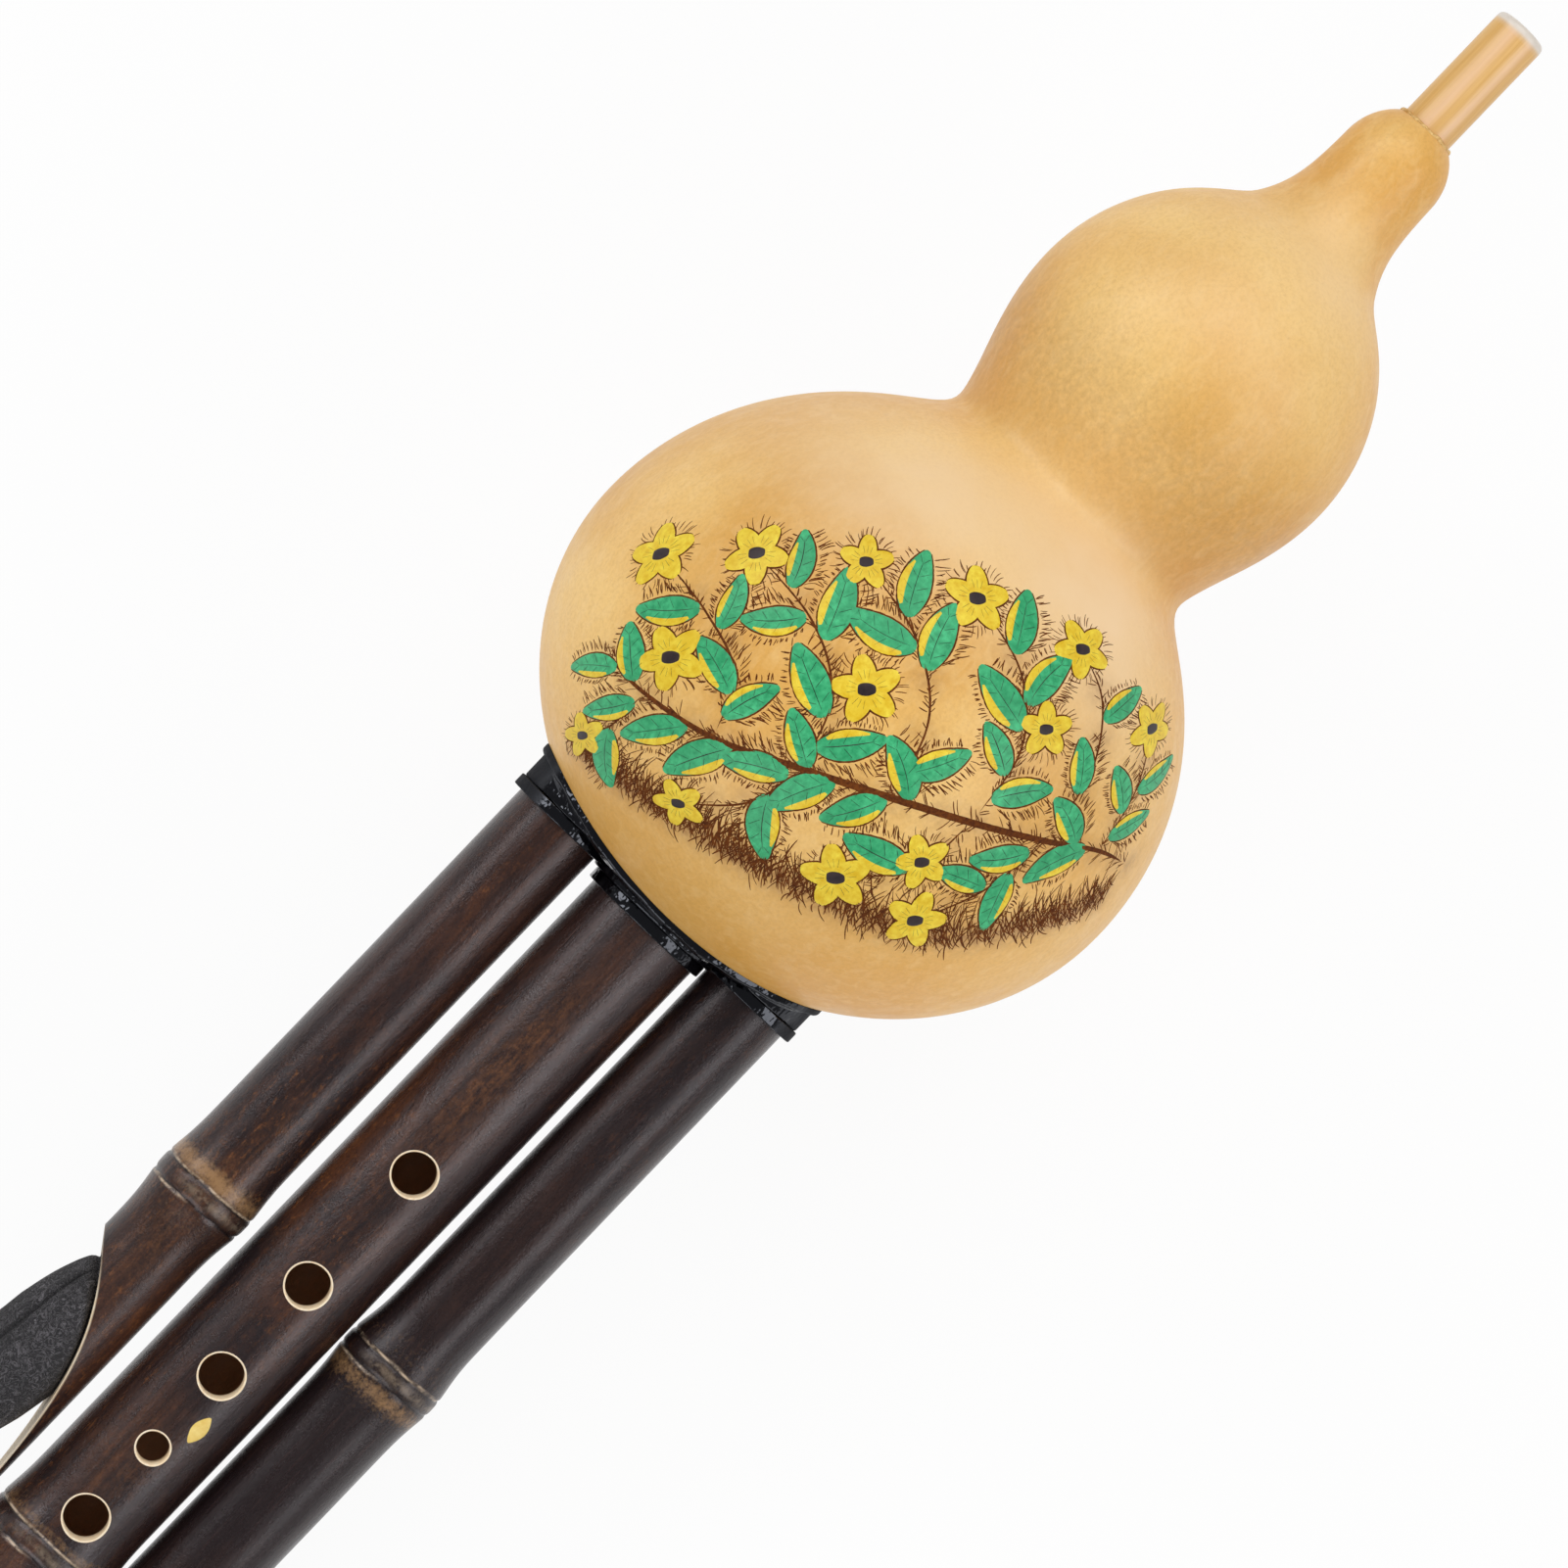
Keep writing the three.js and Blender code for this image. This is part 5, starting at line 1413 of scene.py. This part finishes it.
egg = eggPoints(eggReach) + np.array([0, leftPipe["side"], 0])
stemPath = roundedPath([(leftPlug["stemStart"], 0.0, 0.01), (leftPlug["stemEnd"], 0.0, 0.01),
                        (leftPlug["stemEnd"], leftPlug["stemRadius"], 0.6),
                        (leftPlug["stemStart"], leftPlug["stemRadius"], 1.2)], 7)[::-1]
stemPath[:, 1] = np.clip(stemPath[:, 1], 0, None)
stem = turnedPoints(stemPath, leftPlug["stemColumns"], leftPipe["side"])
eggFaces = gridFaces(leftPlug["rows"], leftPlug["columns"])
stemFaces = gridFaces(len(stemPath), leftPlug["stemColumns"], wrapRows=True)
plugPoints, plugBlocks = joined([(egg.reshape(-1, 3), eggFaces), (stem.reshape(-1, 3), stemFaces)])
# the crease's share of painted shade
marks = {"crease": np.concatenate([0.8 * creased.ravel(), np.zeros(stem.size // 3)])}
plug = putPiece("leftMutePlug", plugPoints, plugBlocks, looks["foam"], "left_plug", "plug_foam",
                ["left_mute_plug"], marks, sharp=60)

rightPlug = {"end": -230.0, "headRadius": 6.2, "headLength": 7.9, "headInset": 0.15, "stemRadius": 4.6,
             "stemLength": 10.0, "gap": 0.3, "columns": 96}
# a round head, a quarter of a superellipse, on a stem with a rounded end
headTurn = np.linspace(0, np.pi / 2, 40)
headEnd = rightPlug["end"] - rightPlug["gap"]
headPath = np.stack([headEnd - rightPlug["headLength"] * np.cos(headTurn) ** 0.85,
                     rightPlug["headRadius"] * np.sin(headTurn) ** 0.9], -1)
headPath[-1] = [headEnd - rightPlug["headInset"], rightPlug["headRadius"] - rightPlug["headInset"]]
stemTop, stemRadius = rightPlug["end"] + rightPlug["stemLength"], rightPlug["stemRadius"]
stemRows = [[headEnd, stemRadius], [headEnd + 1, stemRadius], [stemTop - 0.8, stemRadius],
            [stemTop - 0.2, stemRadius - 0.25], [stemTop, stemRadius - 0.9], [stemTop, 0.0]]
path = np.concatenate([headPath, stemRows])
points = turnedPoints(path, rightPlug["columns"], pipes["right"]["side"])
plug = putPiece("rightMutePlug", points, [gridFaces(len(path), rightPlug["columns"])], looks["foam"],
                "right_plug", "plug_foam", ["right_mute_plug"], sharp=60)
print("mute plugs made")

# small plain gold lozenge painted to one side of the holes, between the third and the fourth
lozenge = {"place": -106.4, "aside": -3.3, "length": 5.4, "width": 1.5, "lift": 0.05, "sink": 0.05,
           "rows": 25, "columns": 10}
s = np.linspace(0, 1, lozenge["rows"])[:, None]
u = np.append(np.linspace(-1, 1, lozenge["columns"] - 1), 0)[None, :]
halfWide = lozenge["width"] * np.sin(np.pi * s) ** 0.9
ends = 1 - (2 * s - 1) ** 8
height = -lozenge["sink"] + (lozenge["lift"] + lozenge["sink"]) * np.sqrt(1 - u ** 4) * ends
height[:, -1:] = -lozenge["sink"] - 0.03 * ends
x = lozenge["place"] + (s - 0.5) * lozenge["length"] + 0 * u
lozengeTurn = np.pi / 2 - (lozenge["aside"] + u * halfWide) / pipes["main"]["radius"]
points = ringPoints(x, pipeRadius(pipes["main"], x, lozengeTurn) + height, lozengeTurn)
putPiece("goldMark", points, [gridFaces(lozenge["rows"], lozenge["columns"])], looks["goldPaint"],
         "melody_pipe", "dark_bamboo")

# floor, light and camera
stage = {
    "floorHalf": 40.0, "floorTone": 0.85, "floorGlow": 0.93, "skyStrength": 0.2, "distance": 1.2,
    "seen": 0.2354, "sensor": 36.0, "target": (23.4, -0.58, 0.0), "lampDistance": 1.3,
    # softboxes: across, lift and onward give the direction from the flute, in its axis's cross
    # plane and along it; then length and width in metres, and watts
    "lamps": {
        "leftBox": (0.81, 0.59, 0.23, 0.84, 0.4, 5.6), "rightBox": (-0.81, 0.59, 0.2, 1.3, 0.5, 7.6),
        "headBox": (0.2, 0.9, 0.85, 0.9, 0.9, 5.6), "tailBox": (0.1, 0.75, -0.95, 0.9, 0.9, 6.0),
    },
}
floorMesh = bpy.data.meshes.new("floor")
half = stage["floorHalf"]
floorCorners = [(-half, -half, 0), (half, -half, 0), (half, half, 0), (-half, half, 0)]
floorMesh.from_pydata(floorCorners, [], [(0, 1, 2, 3)])
floor = bpy.data.objects.new("floor", floorMesh)
bpy.context.scene.collection.objects.link(floor)
# the floor glows plain white to the camera and in reflections, and is a matt tone to the lamps
f = Finish("paleFloor", 0.9, Base_Color=(*[stage["floorTone"]] * 3, 1), Specular_IOR_Level=0.1)
rays = f.node("ShaderNodeLightPath").outputs
seen = rays["Is Camera Ray"]
for ray in ("Is Glossy Ray", "Is Transmission Ray"):
    seen = f.combine("MAXIMUM", seen, rays[ray])
glow, blend = f.node("ShaderNodeEmission"), f.node("ShaderNodeMixShader")
glowShare = f.times(seen, stage["floorGlow"])
for socket, output in enumerate((glowShare, f.shader.outputs[0], glow.outputs[0])):
    f.link(output, blend, socket)
f.link(blend.outputs[0], f.tree.nodes["Material Output"], "Surface")
floorMesh.materials.append(f.material)

world = bpy.data.worlds.new("softWhite")
bpy.context.scene.world = world
world.use_nodes = True
sky = world.node_tree.nodes["Background"]
sky.inputs["Color"].default_value = (1, 1, 1, 1)
sky.inputs["Strength"].default_value = stage["skyStrength"]

target = toRow(np.array([stage["target"]]))[0]
cameraUp = along * math.sin(picture["turn"]) + sideways * math.cos(picture["turn"])


def pointedAt(where, lookAt, upward):
    # matrix whose back points from the target to the place
    back = (where - lookAt) / np.linalg.norm(where - lookAt)
    side = np.cross(upward, back)
    side /= np.linalg.norm(side)
    axes = np.eye(4)
    axes[:3, 0], axes[:3, 1], axes[:3, 2], axes[:3, 3] = side, np.cross(back, side), back, where
    return Matrix(axes.tolist())


cameraData = bpy.data.cameras.new("camera")
cameraData.sensor_width = stage["sensor"]
cameraData.lens = stage["sensor"] * stage["distance"] / stage["seen"]
cameraData.clip_end = 20
camera = bpy.data.objects.new("camera", cameraData)
bpy.context.scene.collection.objects.link(camera)
camera.matrix_world = pointedAt(target + upright * stage["distance"], target, cameraUp)
bpy.context.scene.camera = camera

for name, (across, lift, onward, length, width, watts) in stage["lamps"].items():
    data = bpy.data.lights.new(name, "AREA")
    data.shape = "RECTANGLE"
    data.size, data.size_y = length, width
    data.energy = watts
    heading = sideways * across + upright * lift + along * onward
    where = target + heading / np.linalg.norm(heading) * stage["lampDistance"]
    light = bpy.data.objects.new(name, data)
    bpy.context.scene.collection.objects.link(light)
    light.matrix_world = pointedAt(where, target, np.cross(along, heading))
bpy.context.scene.view_settings.view_transform = "Standard"
print("stage set")
